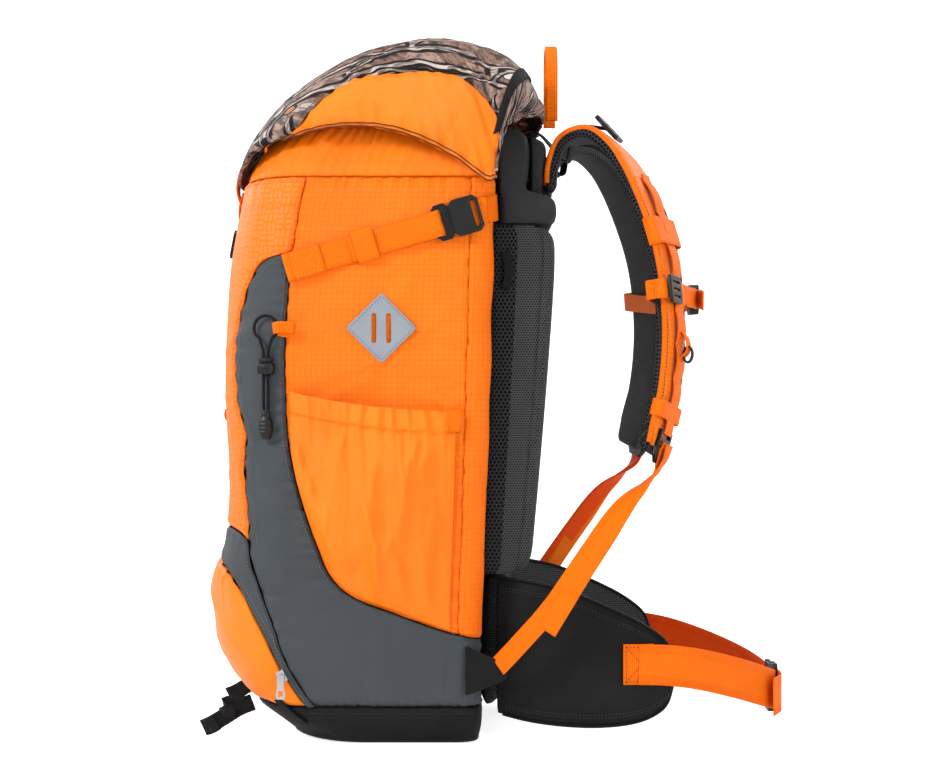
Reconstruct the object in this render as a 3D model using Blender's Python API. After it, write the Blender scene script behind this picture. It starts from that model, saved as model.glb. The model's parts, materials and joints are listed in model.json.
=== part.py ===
"""Hunting backpack, about 45 litres, in metres.

+Z is up, -Y the front, +Y the side worn against the back, and +X the wearer's right.
"""

import math

import bmesh
import bpy
import numpy as np
from mathutils import Matrix, Vector

# Driving sizes ------------------------------------------------------------------------------
HALF_WIDTH = 0.152  # half of the bag's widest place
DEPTH = 0.250  # bag's depth at its fullest, fore and aft
BACK_CORNER = 0.020  # radius of the rear vertical corners
FRONT_CORNER_X = 0.085  # front corner, measured across
FRONT_CORNER_Y = 0.064  # front corner, measured fore and aft
FABRIC = 0.0040  # a panel with its lining and seam allowance
BAND_CLOTH = 0.0030  # the flap over the zip
SEAM = 0.0008  # gap between neighbouring panels
BOOT_CLOTH = 0.0060  # the padded base panel
BOOT_TOP = 0.036  # top of the base panel's wall
TOP_SEAM = 0.530  # where the panels end and the collar begins
COLLAR_TOP = 0.592
HEM_CORD = 0.004  # the drawcord's middle below the collar's top
LID_CLOTH = 0.0040
LID_HALF_WIDTH = HALF_WIDTH - 0.001
WEB_NARROW = 0.025  # side, sternum and shoulder webbing
WEB_WIDE = 0.038  # hip belt webbing
WEB_THICK = 0.0018
STRAP_WIDTH = 0.066
STRAP_THICK = 0.013
STRAP_TWIST = math.radians(25)  # how far a strap's face turns outwards
WING_THICK = 0.011
PAD_INNER = 0.020  # air channel between the back pads, half width
PAD_OUTER = 0.118
PAD_THICK = 0.018  # foam of a back pad
PAD_WALL = 0.003  # mesh wall between a back pad's outer edge and the bag
CORD = 0.0030  # elastic and drawcord diameter
CLEAR = 0.0004  # clearance between pieces that touch
BUCKLE_WALL = 0.0045  # plastic outside the webbing on each side
BUCKLE_THICK = 0.0090
BUCKLE_CAVITY = 0.0052
PRONG_THICK = 0.0040
POCKET_BULGE = 0.018
STAY_WIDTH = 0.025
STAY_THICK = 0.0032
SHEET_THICK = 0.0018
LOOP_HALF = 0.028  # haul loop, half its span
LOOP_HEIGHT = 0.076
LOOP_WEB = 0.012

STANDARD_DEPTH = 0.250  # the depth that the outlines below are drawn at
REAR_PLANE = 0.072

# Profiles of the bag, as (height, value) ----------------------------------------------------
FRONT_LINE = [
    (0.000, -0.108),
    (0.015, -0.124),
    (0.036, -0.149),
    (0.071, -0.172),
    (0.106, -0.184),
    (0.135, -0.188),
    (0.160, -0.185),
    (0.190, -0.177),
    (0.240, -0.174),
    (0.300, -0.176),
    (0.360, -0.178),
    (0.420, -0.175),
    (0.480, -0.168),
    (0.530, -0.157),
    (0.560, -0.142),
    (0.592, -0.118),
]
BACK_LINE = [
    (0.000, 0.065),
    (0.036, 0.067),
    (0.100, 0.068),
    (0.250, 0.073),
    (0.500, 0.080),
    (0.560, 0.079),
    (0.592, 0.072),
]
WIDTH_LINE = [
    (0.000, 0.84),
    (0.036, 0.91),
    (0.100, 0.95),
    (0.200, 0.98),
    (0.300, 1.00),
    (0.420, 1.00),
    (0.500, 0.965),
    (0.530, 0.935),
    (0.560, 0.86),
    (0.592, 0.74),
]

# Seams, as (t, height): t runs round the bag from 0 at the middle of the back to 1 at the middle of the front
T_REAR = 0.20
T_SIDE = 0.30
T_CORNER = 0.60
T_FRONT = 0.85
GUSSET_REAR_SEAM = [
    (0.200, 0.098),
    (0.300, 0.103),
    (0.397, 0.121),
    (0.489, 0.144),
    (0.547, 0.186),
    (0.585, 0.238),
    (0.600, 0.285),
]
GUSSET_FRONT_SEAM = [
    (0.605, 0.036),
    (0.608, 0.080),
    (0.612, 0.116),
    (0.640, 0.150),
    (0.675, 0.171),
    (0.700, 0.190),
    (0.724, 0.256),
    (0.710, 0.290),
    (0.744, 0.315),
    (0.750, 0.350),
    (0.738, 0.388),
    (0.711, 0.426),
    (0.675, 0.450),
    (0.620, 0.458),
]
ZIP_SEAM = [
    (0.626, 0.036),
    (0.626, 0.060),
    (0.636, 0.098),
    (0.652, 0.120),
    (0.680, 0.140),
    (0.720, 0.155),
    (0.780, 0.166),
    (0.850, 0.172),
    (1.000, 0.174),
]
BAND_TOP_SEAM = [
    (0.608, 0.036),
    (0.610, 0.080),
    (0.614, 0.116),
    (0.642, 0.148),
    (0.678, 0.170),
    (0.706, 0.190),
    (0.780, 0.193),
    (0.850, 0.193),
    (1.000, 0.193),
]

# Lid stations: middle line (y, z), hem (y, z), half width as a share ------------------------
LID_STATIONS = [
    ((-0.171, 0.531), (-0.156, 0.546), 0.58),
    ((-0.164, 0.556), (-0.134, 0.560), 0.78),
    ((-0.151, 0.583), (-0.104, 0.568), 0.91),
    ((-0.128, 0.612), (-0.075, 0.574), 0.96),
    ((-0.095, 0.641), (-0.045, 0.575), 0.98),
    ((-0.050, 0.667), (-0.015, 0.571), 0.99),
    ((0.000, 0.682), (0.015, 0.560), 1.00),
    ((0.045, 0.682), (0.045, 0.544), 1.00),
    ((0.082, 0.671), (0.076, 0.523), 1.00),
    ((0.107, 0.653), (0.083, 0.550), 0.99),
    ((0.121, 0.628), (0.088, 0.572), 0.95),
    ((0.129, 0.604), (0.104, 0.586), 0.80),
    ((0.130, 0.594), (0.117, 0.590), 0.62),
]
LID_HINGE = (0.1345, 0.604)
LOOP_HINGE = (0.1375, 0.5965)

# A shoulder strap's middle line on the right side (x, y, z), from the yoke to its tip --------
STRAP_LINE = [
    (0.062, 0.1340, 0.5215),
    (0.063, 0.1360, 0.5440),
    (0.066, 0.1480, 0.5690),
    (0.071, 0.1700, 0.5770),
    (0.078, 0.1960, 0.5600),
    (0.085, 0.2160, 0.5290),
    (0.092, 0.2300, 0.4960),
    (0.098, 0.2400, 0.4590),
    (0.104, 0.2450, 0.4160),
    (0.109, 0.2455, 0.3740),
    (0.114, 0.2410, 0.3310),
    (0.118, 0.2320, 0.2930),
    (0.120, 0.2250, 0.2720),
]
SHOULDER_HINGE = (0.1340, 0.5180)

# Hip wing on the right: along the wing (x, y), and its lower and upper edges (z) -------------
WING_STATIONS = [
    (0.114, 0.082, 0.026, 0.154),
    (0.128, 0.112, 0.021, 0.151),
    (0.137, 0.148, 0.018, 0.143),
    (0.140, 0.184, 0.018, 0.129),
    (0.136, 0.216, 0.022, 0.114),
    (0.131, 0.238, 0.032, 0.099),
    (0.127, 0.250, 0.048, 0.084),
]
WING_REACH = max(x for x, _, _, _ in WING_STATIONS)
HIP_HINGE = (0.116, 0.082)
HIP_STRAP_ROOT = (0.1385, 0.214, 0.076)
HIP_BUCKLE = (0.356, 0.037)  # (y, z) of the hip buckle's middle
HIP_LINE = [(0.1340, 0.240, 0.0745), (0.1220, 0.272, 0.069), (0.0980, 0.312, 0.057), (0.0640, 0.343, 0.044)]

COLOURS = {
    "orange_ripstop": ((1.0, 0.27, 0.01), 0.60, 0.0),
    "orange_mesh": ((1.0, 0.32, 0.02), 0.55, 0.0),
    "orange_webbing": ((1.0, 0.22, 0.01), 0.65, 0.0),
    "camo_cloth": ((0.20, 0.14, 0.12), 0.70, 0.0),
    "grey_cloth": ((0.075, 0.085, 0.095), 0.65, 0.0),
    "black_cloth": ((0.018, 0.018, 0.020), 0.75, 0.0),
    "spacer_mesh": ((0.035, 0.037, 0.040), 0.80, 0.0),
    "black_plastic": ((0.020, 0.020, 0.022), 0.40, 0.0),
    "black_cord": ((0.015, 0.015, 0.016), 0.70, 0.0),
    "hdpe_sheet": ((0.55, 0.56, 0.57), 0.50, 0.0),
    "aluminium": ((0.70, 0.71, 0.73), 0.35, 1.0),
    "zip_metal": ((0.60, 0.61, 0.63), 0.30, 1.0),
}


def curve(line, at):
    """A value read from (height, value) pairs through a smooth curve."""
    xs = [p[0] for p in line]
    ys = [p[1] for p in line]
    at = min(max(at, xs[0]), xs[-1])
    i = min(max(int(np.searchsorted(xs, at)) - 1, 0), len(xs) - 2)
    slopes = [
        (ys[min(k + 1, len(ys) - 1)] - ys[max(k - 1, 0)]) / (xs[min(k + 1, len(xs) - 1)] - xs[max(k - 1, 0)])
        for k in (i, i + 1)
    ]
    span = xs[i + 1] - xs[i]
    f = (at - xs[i]) / span
    return (
        ys[i] * (1 + 2 * f) * (1 - f) ** 2
        + ys[i + 1] * f * f * (3 - 2 * f)
        + slopes[0] * span * f * (1 - f) ** 2
        - slopes[1] * span * f * f * (1 - f)
    )


def back_y(z):
    return curve(BACK_LINE, z)


def fore(y):
    """Where a place drawn on the standard depth stands at this depth. What is behind the bag stays."""
    return REAR_PLANE + (y - REAR_PLANE) * DEPTH / STANDARD_DEPTH if y < REAR_PLANE else y


def front_y(z):
    return fore(curve(FRONT_LINE, z))


def half_width(z):
    return HALF_WIDTH * curve(WIDTH_LINE, z)


def bag(t, z, out=0.0):
    """A point on the bag's outside, moved outwards by out."""
    side = 1.0
    if t > 1:
        t, side = 2 - t, -1.0
    if t < 0:
        t, side = -t, -1.0
    w, yb, yf = half_width(z), back_y(z), front_y(z)
    corner_y = yf + FRONT_CORNER_Y
    if t <= T_REAR:
        x, y, nx, ny = (w - BACK_CORNER) * t / T_REAR, yb, 0.0, 1.0
    elif t <= T_SIDE:
        a = (t - T_REAR) / (T_SIDE - T_REAR) * math.pi / 2
        nx, ny = math.sin(a), math.cos(a)
        x, y = w - BACK_CORNER + BACK_CORNER * nx, yb - BACK_CORNER + BACK_CORNER * ny
    elif t <= T_CORNER:
        f = (t - T_SIDE) / (T_CORNER - T_SIDE)
        x, y, nx, ny = w, (yb - BACK_CORNER) * (1 - f) + corner_y * f, 1.0, 0.0
    elif t <= T_FRONT:
        a = (t - T_CORNER) / (T_FRONT - T_CORNER) * math.pi / 2
        x = w - FRONT_CORNER_X + FRONT_CORNER_X * math.cos(a)
        y = corner_y - FRONT_CORNER_Y * math.sin(a)
        nx, ny = math.cos(a), -math.sin(a)
    else:
        x = (w - FRONT_CORNER_X) * (1 - t) / (1 - T_FRONT)
        y, nx, ny = yf, 0.0, -1.0
    return Vector((side * (x + nx * out), y + ny * out, z))


def t_at(y, z):
    """Where round the bag the side or the front corner has this y."""
    w_end = back_y(z) - BACK_CORNER
    corner_y = front_y(z) + FRONT_CORNER_Y
    if y >= corner_y:
        return T_SIDE + (T_CORNER - T_SIDE) * (w_end - y) / (w_end - corner_y)
    a = math.asin(min(1.0, (corner_y - y) / FRONT_CORNER_Y))
    return T_CORNER + (T_FRONT - T_CORNER) * a / (math.pi / 2)


def material(name):
    found = bpy.data.materials.get(name)
    if found:
        return found
    colour, roughness, metallic = COLOURS[name]
    made = bpy.data.materials.new(name)
    made.use_nodes = True
    shader = made.node_tree.nodes["Principled BSDF"]
    shader.inputs["Base Color"].default_value = (*colour, 1.0)
    shader.inputs["Roughness"].default_value = roughness
    shader.inputs["Metallic"].default_value = metallic
    return made


def add_object(name, mesh, finish):
    mesh.materials.append(material(finish))
    obj = bpy.data.objects.new(name, mesh)
    bpy.context.scene.collection.objects.link(obj)
    return obj


def closed_piece(name, points, faces, finish):
    """A closed solid from points and faces, with its normals pointing out."""
    mesh = bpy.data.meshes.new(name)
    mesh.from_pydata([tuple(p) for p in points], [], faces)
    work = bmesh.new()
    work.from_mesh(mesh)
    bmesh.ops.remove_doubles(work, verts=work.verts, dist=1e-6)
    bmesh.ops.recalc_face_normals(work, faces=work.faces)
    work.to_mesh(mesh)
    work.free()
    return add_object(name, mesh, finish)


def sheet_piece(name, rows, finish, thickness, away_from, wrap=False, floor=False):
    """A grid of points given its thickness inwards, towards away_from."""
    n = len(rows[0])
    points = [tuple(p) for row in rows for p in row]
    faces = []
    for i in range(len(rows) - 1):
        for j in range(n if wrap else n - 1):
            k = (j + 1) % n
            faces.append((i * n + j, i * n + k, (i + 1) * n + k, (i + 1) * n + j))
    if floor:
        faces.append(tuple(range(n)))
    mesh = bpy.data.meshes.new(name)
    mesh.from_pydata(points, [], faces)
    work = bmesh.new()
    work.from_mesh(mesh)
    bmesh.ops.recalc_face_normals(work, faces=work.faces)
    inside = Vector(away_from)
    outwards = sum(f.normal.dot(f.calc_center_median() - inside) * f.calc_area() for f in work.faces)
    if outwards < 0:
        bmesh.ops.reverse_faces(work, faces=work.faces)
    work.to_mesh(mesh)
    work.free()
    obj = add_object(name, mesh, finish)
    solid = obj.modifiers.new("Thickness", "SOLIDIFY")
    solid.thickness = thickness
    solid.offset = -1
    solid.use_even_offset = True
    return obj


def sweep_piece(name, line, sides, section, finish):
    """A section of (across, out) points carried along a line. sides gives the across direction at each point."""
    points = []
    for i, p in enumerate(line):
        ahead = (line[min(i + 1, len(line) - 1)] - line[max(i - 1, 0)]).normalized()
        side = (sides[i] - ahead * sides[i].dot(ahead)).normalized()
        out = side.cross(ahead)
        shape = section(i / (len(line) - 1)) if callable(section) else section
        points += [p + side * a + out * b for a, b in shape]
        n = len(shape)
    return closed_piece(name, points, loft_faces(len(line), n), finish)


def web_section(width):
    a, b = width / 2, WEB_THICK / 2
    return [(-a, -b), (a, -b), (a, b), (-a, b)]


def box_mesh(name, low, high):
    work = bmesh.new()
    bmesh.ops.create_cube(work, size=1.0)
    for v in work.verts:
        v.co = Vector([(low[k] + high[k]) / 2 + v.co[k] * (high[k] - low[k]) for k in range(3)])
    mesh = bpy.data.meshes.new(name)
    work.to_mesh(mesh)
    work.free()
    return mesh


def cutter(name, low, high):
    obj = bpy.data.objects.new(name, box_mesh(name, low, high))
    bpy.context.scene.collection.objects.link(obj)
    obj.hide_render = True
    obj.display_type = "WIRE"
    return obj


def cut(obj, *boxes):
    """Takes boxes, each (low, high) in the object's own frame, out of it."""
    for i, (low, high) in enumerate(boxes):
        tool = cutter(f"{obj.name}_cut_{i}", low, high)
        tool.parent = obj
        boolean = obj.modifiers.new(f"Cut {i}", "BOOLEAN")
        boolean.object = tool
        boolean.solver = "EXACT"


def outline_piece(name, outline, low, high, finish):
    """A flat outline of (x, y) points given a thickness from low to high."""
    n = len(outline)
    points = [(x, y, low) for x, y in outline] + [(x, y, high) for x, y in outline]
    faces = [tuple(reversed(range(n))), tuple(range(n, 2 * n))]
    faces += [(i, (i + 1) % n, n + (i + 1) % n, n + i) for i in range(n)]
    return closed_piece(name, points, faces, finish)


def place(obj, at, along, out):
    """Puts the object's own +X along a direction and its +Z out of the surface."""
    x = Vector(along).normalized()
    z = (Vector(out) - x * Vector(out).dot(x)).normalized()
    turn = Matrix((x, z.cross(x), z)).transposed().to_4x4()
    obj.matrix_world = Matrix.Translation(Vector(at)) @ turn
    return obj


def mirrored(points):
    return [Vector((-p.x, p.y, p.z)) for p in points]


# Buckles and hardware -----------------------------------------------------------------------
FEMALE_LENGTH = 0.028
MALE_LENGTH = 0.017
PRONG_LENGTH = 0.0155


def buckle_female(name, web):
    """The socket half: its mouth is at its own x = 0 and its webbing bar is at the far end."""
    a, h, c = web / 2 + BUCKLE_WALL, BUCKLE_THICK / 2, BUCKLE_CAVITY / 2
    nose = 0.004
    half = [(0, a - nose), (nose, a), (FEMALE_LENGTH - nose, a), (FEMALE_LENGTH, a - nose)]
    outline = [*half, *[(x, -y) for x, y in reversed(half)]]
    obj = outline_piece(name, outline, -h, h, "black_plastic")
    inner = web / 2 + 0.0012
    cut(
        obj,
        ((-0.002, -inner, -c), (0.0172, inner, c)),
        ((0.0075, -a - 0.002, -c), (0.0155, a + 0.002, c)),
        ((0.0205, -web / 2 - 0.0004, -h - 0.002), (0.0245, web / 2 + 0.0004, h + 0.002)),
    )
    return obj


def buckle_male(name, web):
    """The pronged half: its shoulder meets the socket's mouth at x = 0 and its prongs point along +X."""
    a, h = web / 2 + BUCKLE_WALL, PRONG_THICK / 2
    arm = web / 2 + 0.0012 - 0.0006
    pad = a - 0.0008
    half = [
        (-MALE_LENGTH, 0),
        (-MALE_LENGTH, a - 0.004),
        (-MALE_LENGTH + 0.004, a),
        (-0.004, a),
        (-CLEAR, a - 0.004),
        (-CLEAR, arm),
        (0.0080, arm - 0.001),
        (0.0085, pad),
        (0.0125, pad),
        (PRONG_LENGTH, arm - 0.002),
        (PRONG_LENGTH, arm - 0.006),
        (0.001, arm - 0.005),
        (0.001, 0.0035),
        (PRONG_LENGTH - 0.001, 0.0022),
    ]
    outline = [*half, *[(x, -y) for x, y in reversed(half) if y > 0]]
    obj = outline_piece(name, outline, -h, h, "black_plastic")
    cut(obj, ((-0.0125, -web / 2 - 0.0004, -h - 0.002), (-0.0085, web / 2 + 0.0004, h + 0.002)))
    return obj


LOCK_LENGTH = 0.032
LOCK_THICK = 0.0042


def ladder_lock(name, web):
    """A strap adjuster: sewn bar at x = 0, ladder bars in the middle, thumb lip at the far end."""
    a, h = web / 2 + 0.0042, LOCK_THICK / 2
    lip = 0.007
    half = [(0, a), (LOCK_LENGTH - lip, a), (LOCK_LENGTH, a - lip)]
    outline = [*half, *[(x, -y) for x, y in reversed(half)]]
    obj = outline_piece(name, outline, -h, h, "black_plastic")
    for_web = web / 2 + 0.0004
    cut(
        obj,
        ((0.0030, -for_web, -h - 0.002), (0.0070, for_web, h + 0.002)),
        ((0.0105, -for_web, -h - 0.002), (0.0145, for_web, h + 0.002)),
        ((0.0180, -for_web, -h - 0.002), (0.0215, for_web, h + 0.002)),
    )
    return obj


# The bag ------------------------------------------------------------------------------------
INSIDE = (0.0, -0.05, 0.30)
ROUND_REAR = [T_REAR, 0.225, 0.25, 0.275, T_SIDE]


def steps(a, b, n):
    return [a + (b - a) * i / n for i in range(n + 1)]


def both_sides(make):
    for name, side in (("right", 1.0), ("left", -1.0)):
        make(name, side)


def turned(points, side):
    return points if side > 0 else mirrored(points)


def seam_height(seam, t):
    """The height of a seam given as (t, height) at some t."""
    return float(np.interp(t, [s[0] for s in seam], [s[1] for s in seam]))


def seam_t(seam, z):
    """Where a seam given as (t, height) stands at a height."""
    return float(np.interp(z, [h for _, h in seam], [t for t, _ in seam]))


def front_panel():
    heights = [h for _, h in GUSSET_FRONT_SEAM if h > 0.2] + [0.480, 0.505, TOP_SEAM - SEAM]
    heights = [0.193 + SEAM * 2, *heights]
    rows = []
    for z in heights:
        edge = T_CORNER if z > 0.459 else seam_t(GUSSET_FRONT_SEAM, z)
        edge += SEAM * 8
        ts = [edge + (T_FRONT - edge) * f for f in (0, 0.25, 0.5, 0.75, 1.0)] + [1.0]
        rows.append([bag(t, z) for t in ts] + [bag(2 - t, z) for t in reversed(ts[:-1])])
    sheet_piece("front_panel", rows, "orange_mesh", FABRIC, INSIDE)


def side_panel(name, side):
    columns = []
    for t in ROUND_REAR + [t for t, _ in GUSSET_REAR_SEAM if t > T_SIDE]:
        low = seam_height(GUSSET_REAR_SEAM, t)
        heights = [low + SEAM * 2] + [low + (TOP_SEAM - low) * f for f in (0.25, 0.5, 0.75)] + [TOP_SEAM - SEAM]
        columns.append(turned([bag(t + SEAM * 4, z) for z in heights], side))
    sheet_piece(f"side_panel_{name}", columns, "orange_ripstop", FABRIC, INSIDE)


def corner_gusset(name, side):
    rear = {h: t for t, h in GUSSET_REAR_SEAM}
    front = [h for _, h in GUSSET_FRONT_SEAM[1:]]
    heights = sorted({BOOT_TOP + SEAM, 0.080, *rear, 0.330, *front})
    rows = []
    for z in heights:
        a = T_REAR if z < 0.098 else seam_t(GUSSET_REAR_SEAM, z)
        b = seam_t(GUSSET_FRONT_SEAM, z)
        a += SEAM * 6
        side_start = max(T_SIDE, a + (b - a) * 0.1)
        knee = max(T_CORNER, side_start + (b - side_start) * 0.1)
        ts = steps(a, side_start, 4) + [(side_start + knee) / 2] + steps(knee, b, 3)
        rows.append(turned([bag(t, z) for t in ts], side))
    sheet_piece(f"corner_gusset_{name}", rows, "grey_cloth", FABRIC, INSIDE)


def back_panel():
    edge = T_REAR - SEAM * 2
    heights = [BOOT_TOP + SEAM, 0.1, 0.25, 0.4, TOP_SEAM - SEAM]
    rows = [[bag(t, z) for t in (-edge, 0, edge)] for z in heights]
    sheet_piece("back_panel", rows, "black_cloth", FABRIC, INSIDE)


def ring(z, out=0.0):
    half = [0.0, 0.1, T_REAR, 0.25, T_SIDE, 0.45, T_CORNER, 0.66, 0.73, 0.79, T_FRONT, 1.0]
    return [bag(t, z, out) for t in half] + [bag(2 - t, z, out) for t in reversed(half[1:-1])]


def base_panel():
    floor = [Vector((p.x * 0.93, p.y - 0.002 if p.y > 0 else p.y * 0.87, 0.0)) for p in ring(0.0)]
    rows = [floor, ring(0.006), ring(0.018), ring(BOOT_TOP - SEAM)]
    sheet_piece("base_panel", rows, "black_cloth", BOOT_CLOTH, (0, -0.03, 0.02), wrap=True, floor=True)


def collar():
    heights = [TOP_SEAM + SEAM, 0.548, 0.566, COLLAR_TOP - HEM_CORD, COLLAR_TOP]
    sheet_piece("collar", [ring(z) for z in heights], "orange_ripstop", FABRIC, INSIDE, wrap=True)


def bottom_pocket():
    columns = []
    half = ZIP_SEAM[1:]
    for t, top in half + [(2 - t, h) for t, h in reversed(half[:-1])]:
        low = BOOT_TOP + SEAM
        columns.append([bag(t, low + (top - SEAM - low) * f, 0.0005) for f in (0, 0.33, 0.67, 1.0)])
    sheet_piece("bottom_pocket", columns, "orange_ripstop", FABRIC, (0, -0.05, 0.10))


def zip_band():
    """The arched flap over the zip, from one side of the base up across the front and down again."""
    pairs = []
    for (ta, za), (tb, zb) in zip(ZIP_SEAM, BAND_TOP_SEAM):
        low, high = Vector((ta, za)), Vector((tb, zb))
        across = high - low
        pairs.append((low + across * 0.20, high - across * 0.12))
    pairs[0] = tuple(Vector((p.x, BOOT_TOP + SEAM)) for p in pairs[0])
    columns = [[bag(p.x, p.y, 0.0005) for p in (a, (a + b) / 2, b)] for a, b in pairs]
    columns += [mirrored(c) for c in reversed(columns[:-1])]
    sheet_piece("zip_band", columns, "grey_cloth", BAND_CLOTH, (0, -0.05, 0.10))


def side_pocket(name, side):
    t_rear, t_front = 0.318, T_CORNER - 0.004
    columns = []
    across = 9
    for i in range(across + 1):
        u = i / across
        t = t_rear + (t_front - t_rear) * u
        low = seam_height(GUSSET_REAR_SEAM, t) + 0.004
        top = 0.312 + 0.018 * u * u
        column = []
        for v in (0, 0.12, 0.35, 0.65, 0.85, 1.0):
            swell = math.sin(math.pi * u) ** 0.6 * math.sin(math.pi * min(1.0, 0.72 * v)) ** 0.7
            z = low + (top - low) * v
            column.append(bag(t, z, 0.0036 + POCKET_BULGE * swell))
        columns.append(turned(column, side))
    sheet_piece(f"side_pocket_{name}", columns, "orange_ripstop", 0.0020, INSIDE)


def inner_frame():
    """Plastic framesheet and two aluminium stays, in a sleeve inside the back panel."""
    heights = steps(0.060, 0.510, 4)
    at = FABRIC + 0.0015
    half = HALF_WIDTH - 0.037
    rows = [[Vector((x, back_y(z) - at, z)) for x in (-half, 0.0, half)] for z in heights]
    sheet_piece("framesheet", rows, "hdpe_sheet", SHEET_THICK, INSIDE)
    a, b = STAY_WIDTH / 2, STAY_THICK / 2
    section = [(-a, -b), (a, -b), (a, b), (-a, b)]
    behind = at + SHEET_THICK + CLEAR + b
    for name, x in (("stay_right", 0.070), ("stay_left", -0.070)):
        line = [Vector((x, back_y(z) - behind, z)) for z in steps(0.064, 0.505, 6)]
        sweep_piece(name, line, [Vector((1, 0, 0))] * len(line), section, "aluminium")


# Back system --------------------------------------------------------------------------------
PAD_LINE = [  # (height, outer face's y) of a back pad
    (0.158, 0.112),
    (0.207, 0.117),
    (0.322, 0.127),
    (0.417, 0.134),
    (0.464, 0.136),
    (0.487, 0.130),
]


def loft_faces(rings, n):
    """The faces of a loft through this many rings of n points each, with both ends closed."""
    last = (rings - 1) * n
    sides = [(i + j, i + (j + 1) % n, i + n + (j + 1) % n, i + n + j) for i in range(0, last, n) for j in range(n)]
    return [*sides, tuple(range(n)), tuple(range(last, last + n))]


def back_pad(name, side):
    """A tall foam pad under spacer mesh, held off the bag by a mesh wall along its outer edge."""
    rings = []
    for i, (z, y) in enumerate(PAD_LINE):
        near, inner = back_y(z) + CLEAR, y - PAD_THICK
        tuck = 0.010 if i in (0, len(PAD_LINE) - 1) else 0.0
        a, b, r = PAD_INNER + tuck, PAD_OUTER - tuck, PAD_THICK / 2
        rounded = [(a, y - r), (a + r, y), (b - r * 2, y), (b - r * 0.6, y - r * 0.5), (b, y - r * 1.3)]
        rings.append([(a, inner), *rounded, (b, near), (b - PAD_WALL, near), (b - PAD_WALL, inner)])
    points = [Vector((side * x, y, z)) for (z, _), r in zip(PAD_LINE, rings) for x, y in r]
    closed_piece(f"back_pad_{name}", points, loft_faces(len(rings), len(rings[0])), "spacer_mesh")


def block(name, sections, finish):
    """A solid through cross sections, each (height, half width, near y, far y, corner)."""
    points = []
    for z, w, near, far, r in sections:
        half = [(w, near), (w, far - r), (w - r, far)]
        points += [Vector((x, y, z)) for x, y in half] + [Vector((-x, y, z)) for x, y in reversed(half)]
    return closed_piece(name, points, loft_faces(len(sections), 6), finish)


def yoke_panel():
    block(
        "yoke_panel",
        [
            (0.4885, 0.122, back_y(0.4885) + CLEAR, 0.134, 0.012),
            (0.505, 0.122, back_y(0.505) + CLEAR, 0.140, 0.012),
            (0.515, 0.121, back_y(0.515) + CLEAR, 0.136, 0.010),
            (0.519, 0.120, back_y(0.519) + CLEAR, 0.114, 0.008),
            (0.550, 0.116, back_y(0.550) + CLEAR + 0.001, 0.113, 0.008),
            (0.580, 0.100, back_y(0.580) + CLEAR + 0.002, 0.112, 0.008),
        ],
        "black_cloth",
    )


def lumbar_pad():
    block(
        "lumbar_pad",
        [
            (0.030, 0.094, back_y(0.030) + CLEAR, 0.084, 0.008),
            (0.060, 0.097, back_y(0.060) + CLEAR, 0.092, 0.012),
            (0.110, 0.097, back_y(0.110) + CLEAR, 0.096, 0.012),
            (0.156, 0.094, back_y(0.156) + CLEAR, 0.095, 0.010),
        ],
        "black_cloth",
    )


# The lid ------------------------------------------------------------------------------------
def lid_point(station, across):
    """across runs from 0 at the middle to 1 at the hem, along a boxy arch."""
    (cy, cz), (ey, ez), share = station
    cy, ey = fore(cy), fore(ey)
    a = across * math.pi / 2
    power = 2 / 2.7
    x = LID_HALF_WIDTH * share * math.sin(a) ** power
    k = 1 - max(math.cos(a), 0.0) ** power
    return Vector((x, cy + (ey - cy) * k, cz + (ez - cz) * k))


def lid_shell():
    across = [0.0, 0.16, 0.32, 0.46, 0.60, 0.76, 1.0]
    rows = []
    for station in LID_STATIONS:
        half = [lid_point(station, a) for a in across]
        rows.append([*reversed(mirrored(half[1:])), *half])
    sheet_piece("lid_shell", rows, "camo_cloth", LID_CLOTH, (0, -0.02, 0.56))


def front_webbing():
    """The strap that holds the lid down, in the middle of the front."""
    axis = (bag(1.0, 0.520) - bag(1.0, 0.470)).normalized()
    out = Vector((0, -1, 0))
    middle = bag(1.0, 0.489, BUCKLE_THICK / 2 + 0.0012)
    male = buckle_male("lid_buckle_male", WEB_NARROW)
    place(male, middle, -axis, out)
    female = buckle_female("front_buckle_female", WEB_NARROW)
    place(female, middle, -axis, out)
    top = middle + axis * (MALE_LENGTH + CLEAR)
    lip = fore(LID_STATIONS[0][0][0])
    line = [top, top + axis * 0.010 + out * 0.0020]
    line += [Vector((0, lip - 0.0035, 0.527)), Vector((0, lip - 0.0028, 0.540))]
    sweep_piece("lid_strap", line, [Vector((1, 0, 0))] * len(line), web_section(WEB_NARROW), "orange_webbing")


# Side straps --------------------------------------------------------------------------------
SIDE_STRAP_FRONT = (-0.108, 0.445)
SIDE_BUCKLE = (0.0400, 0.4885)


def side_strap_start(side):
    y, z = fore(SIDE_STRAP_FRONT[0]), SIDE_STRAP_FRONT[1]
    return Vector((side * (half_width(z) + 0.0022), y, z))


def side_strap(name, side):
    """Compression webbing across the side, with its buckle near the back panel."""
    start = side_strap_start(side)
    slope = Vector((0, SIDE_BUCKLE[0] - start.y, SIDE_BUCKLE[1] - start.z)).normalized()
    stand = BUCKLE_THICK / 2 + 0.0010
    x = max(half_width(SIDE_BUCKLE[1] + step) for step in (-0.02, 0, 0.02)) + stand
    centre = Vector((side * x, *SIDE_BUCKLE))
    out = Vector((side, 0, 0))
    female = buckle_female(f"side_buckle_female_{name}", WEB_NARROW)
    place(female, centre, slope, out)
    male = buckle_male(f"side_buckle_male_{name}", WEB_NARROW)
    place(male, centre, slope, out)
    end = centre - slope * (MALE_LENGTH + CLEAR)
    line = [start]
    for f in (0.25, 0.5, 0.72):
        p = start.lerp(end, f)
        p.x = side * (half_width(p.z) + 0.0024)
        line.append(p)
    line.append(end)
    up = slope.cross(out)
    sweep_piece(f"side_strap_{name}", line, [up] * len(line), web_section(WEB_NARROW), "orange_webbing")


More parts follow.
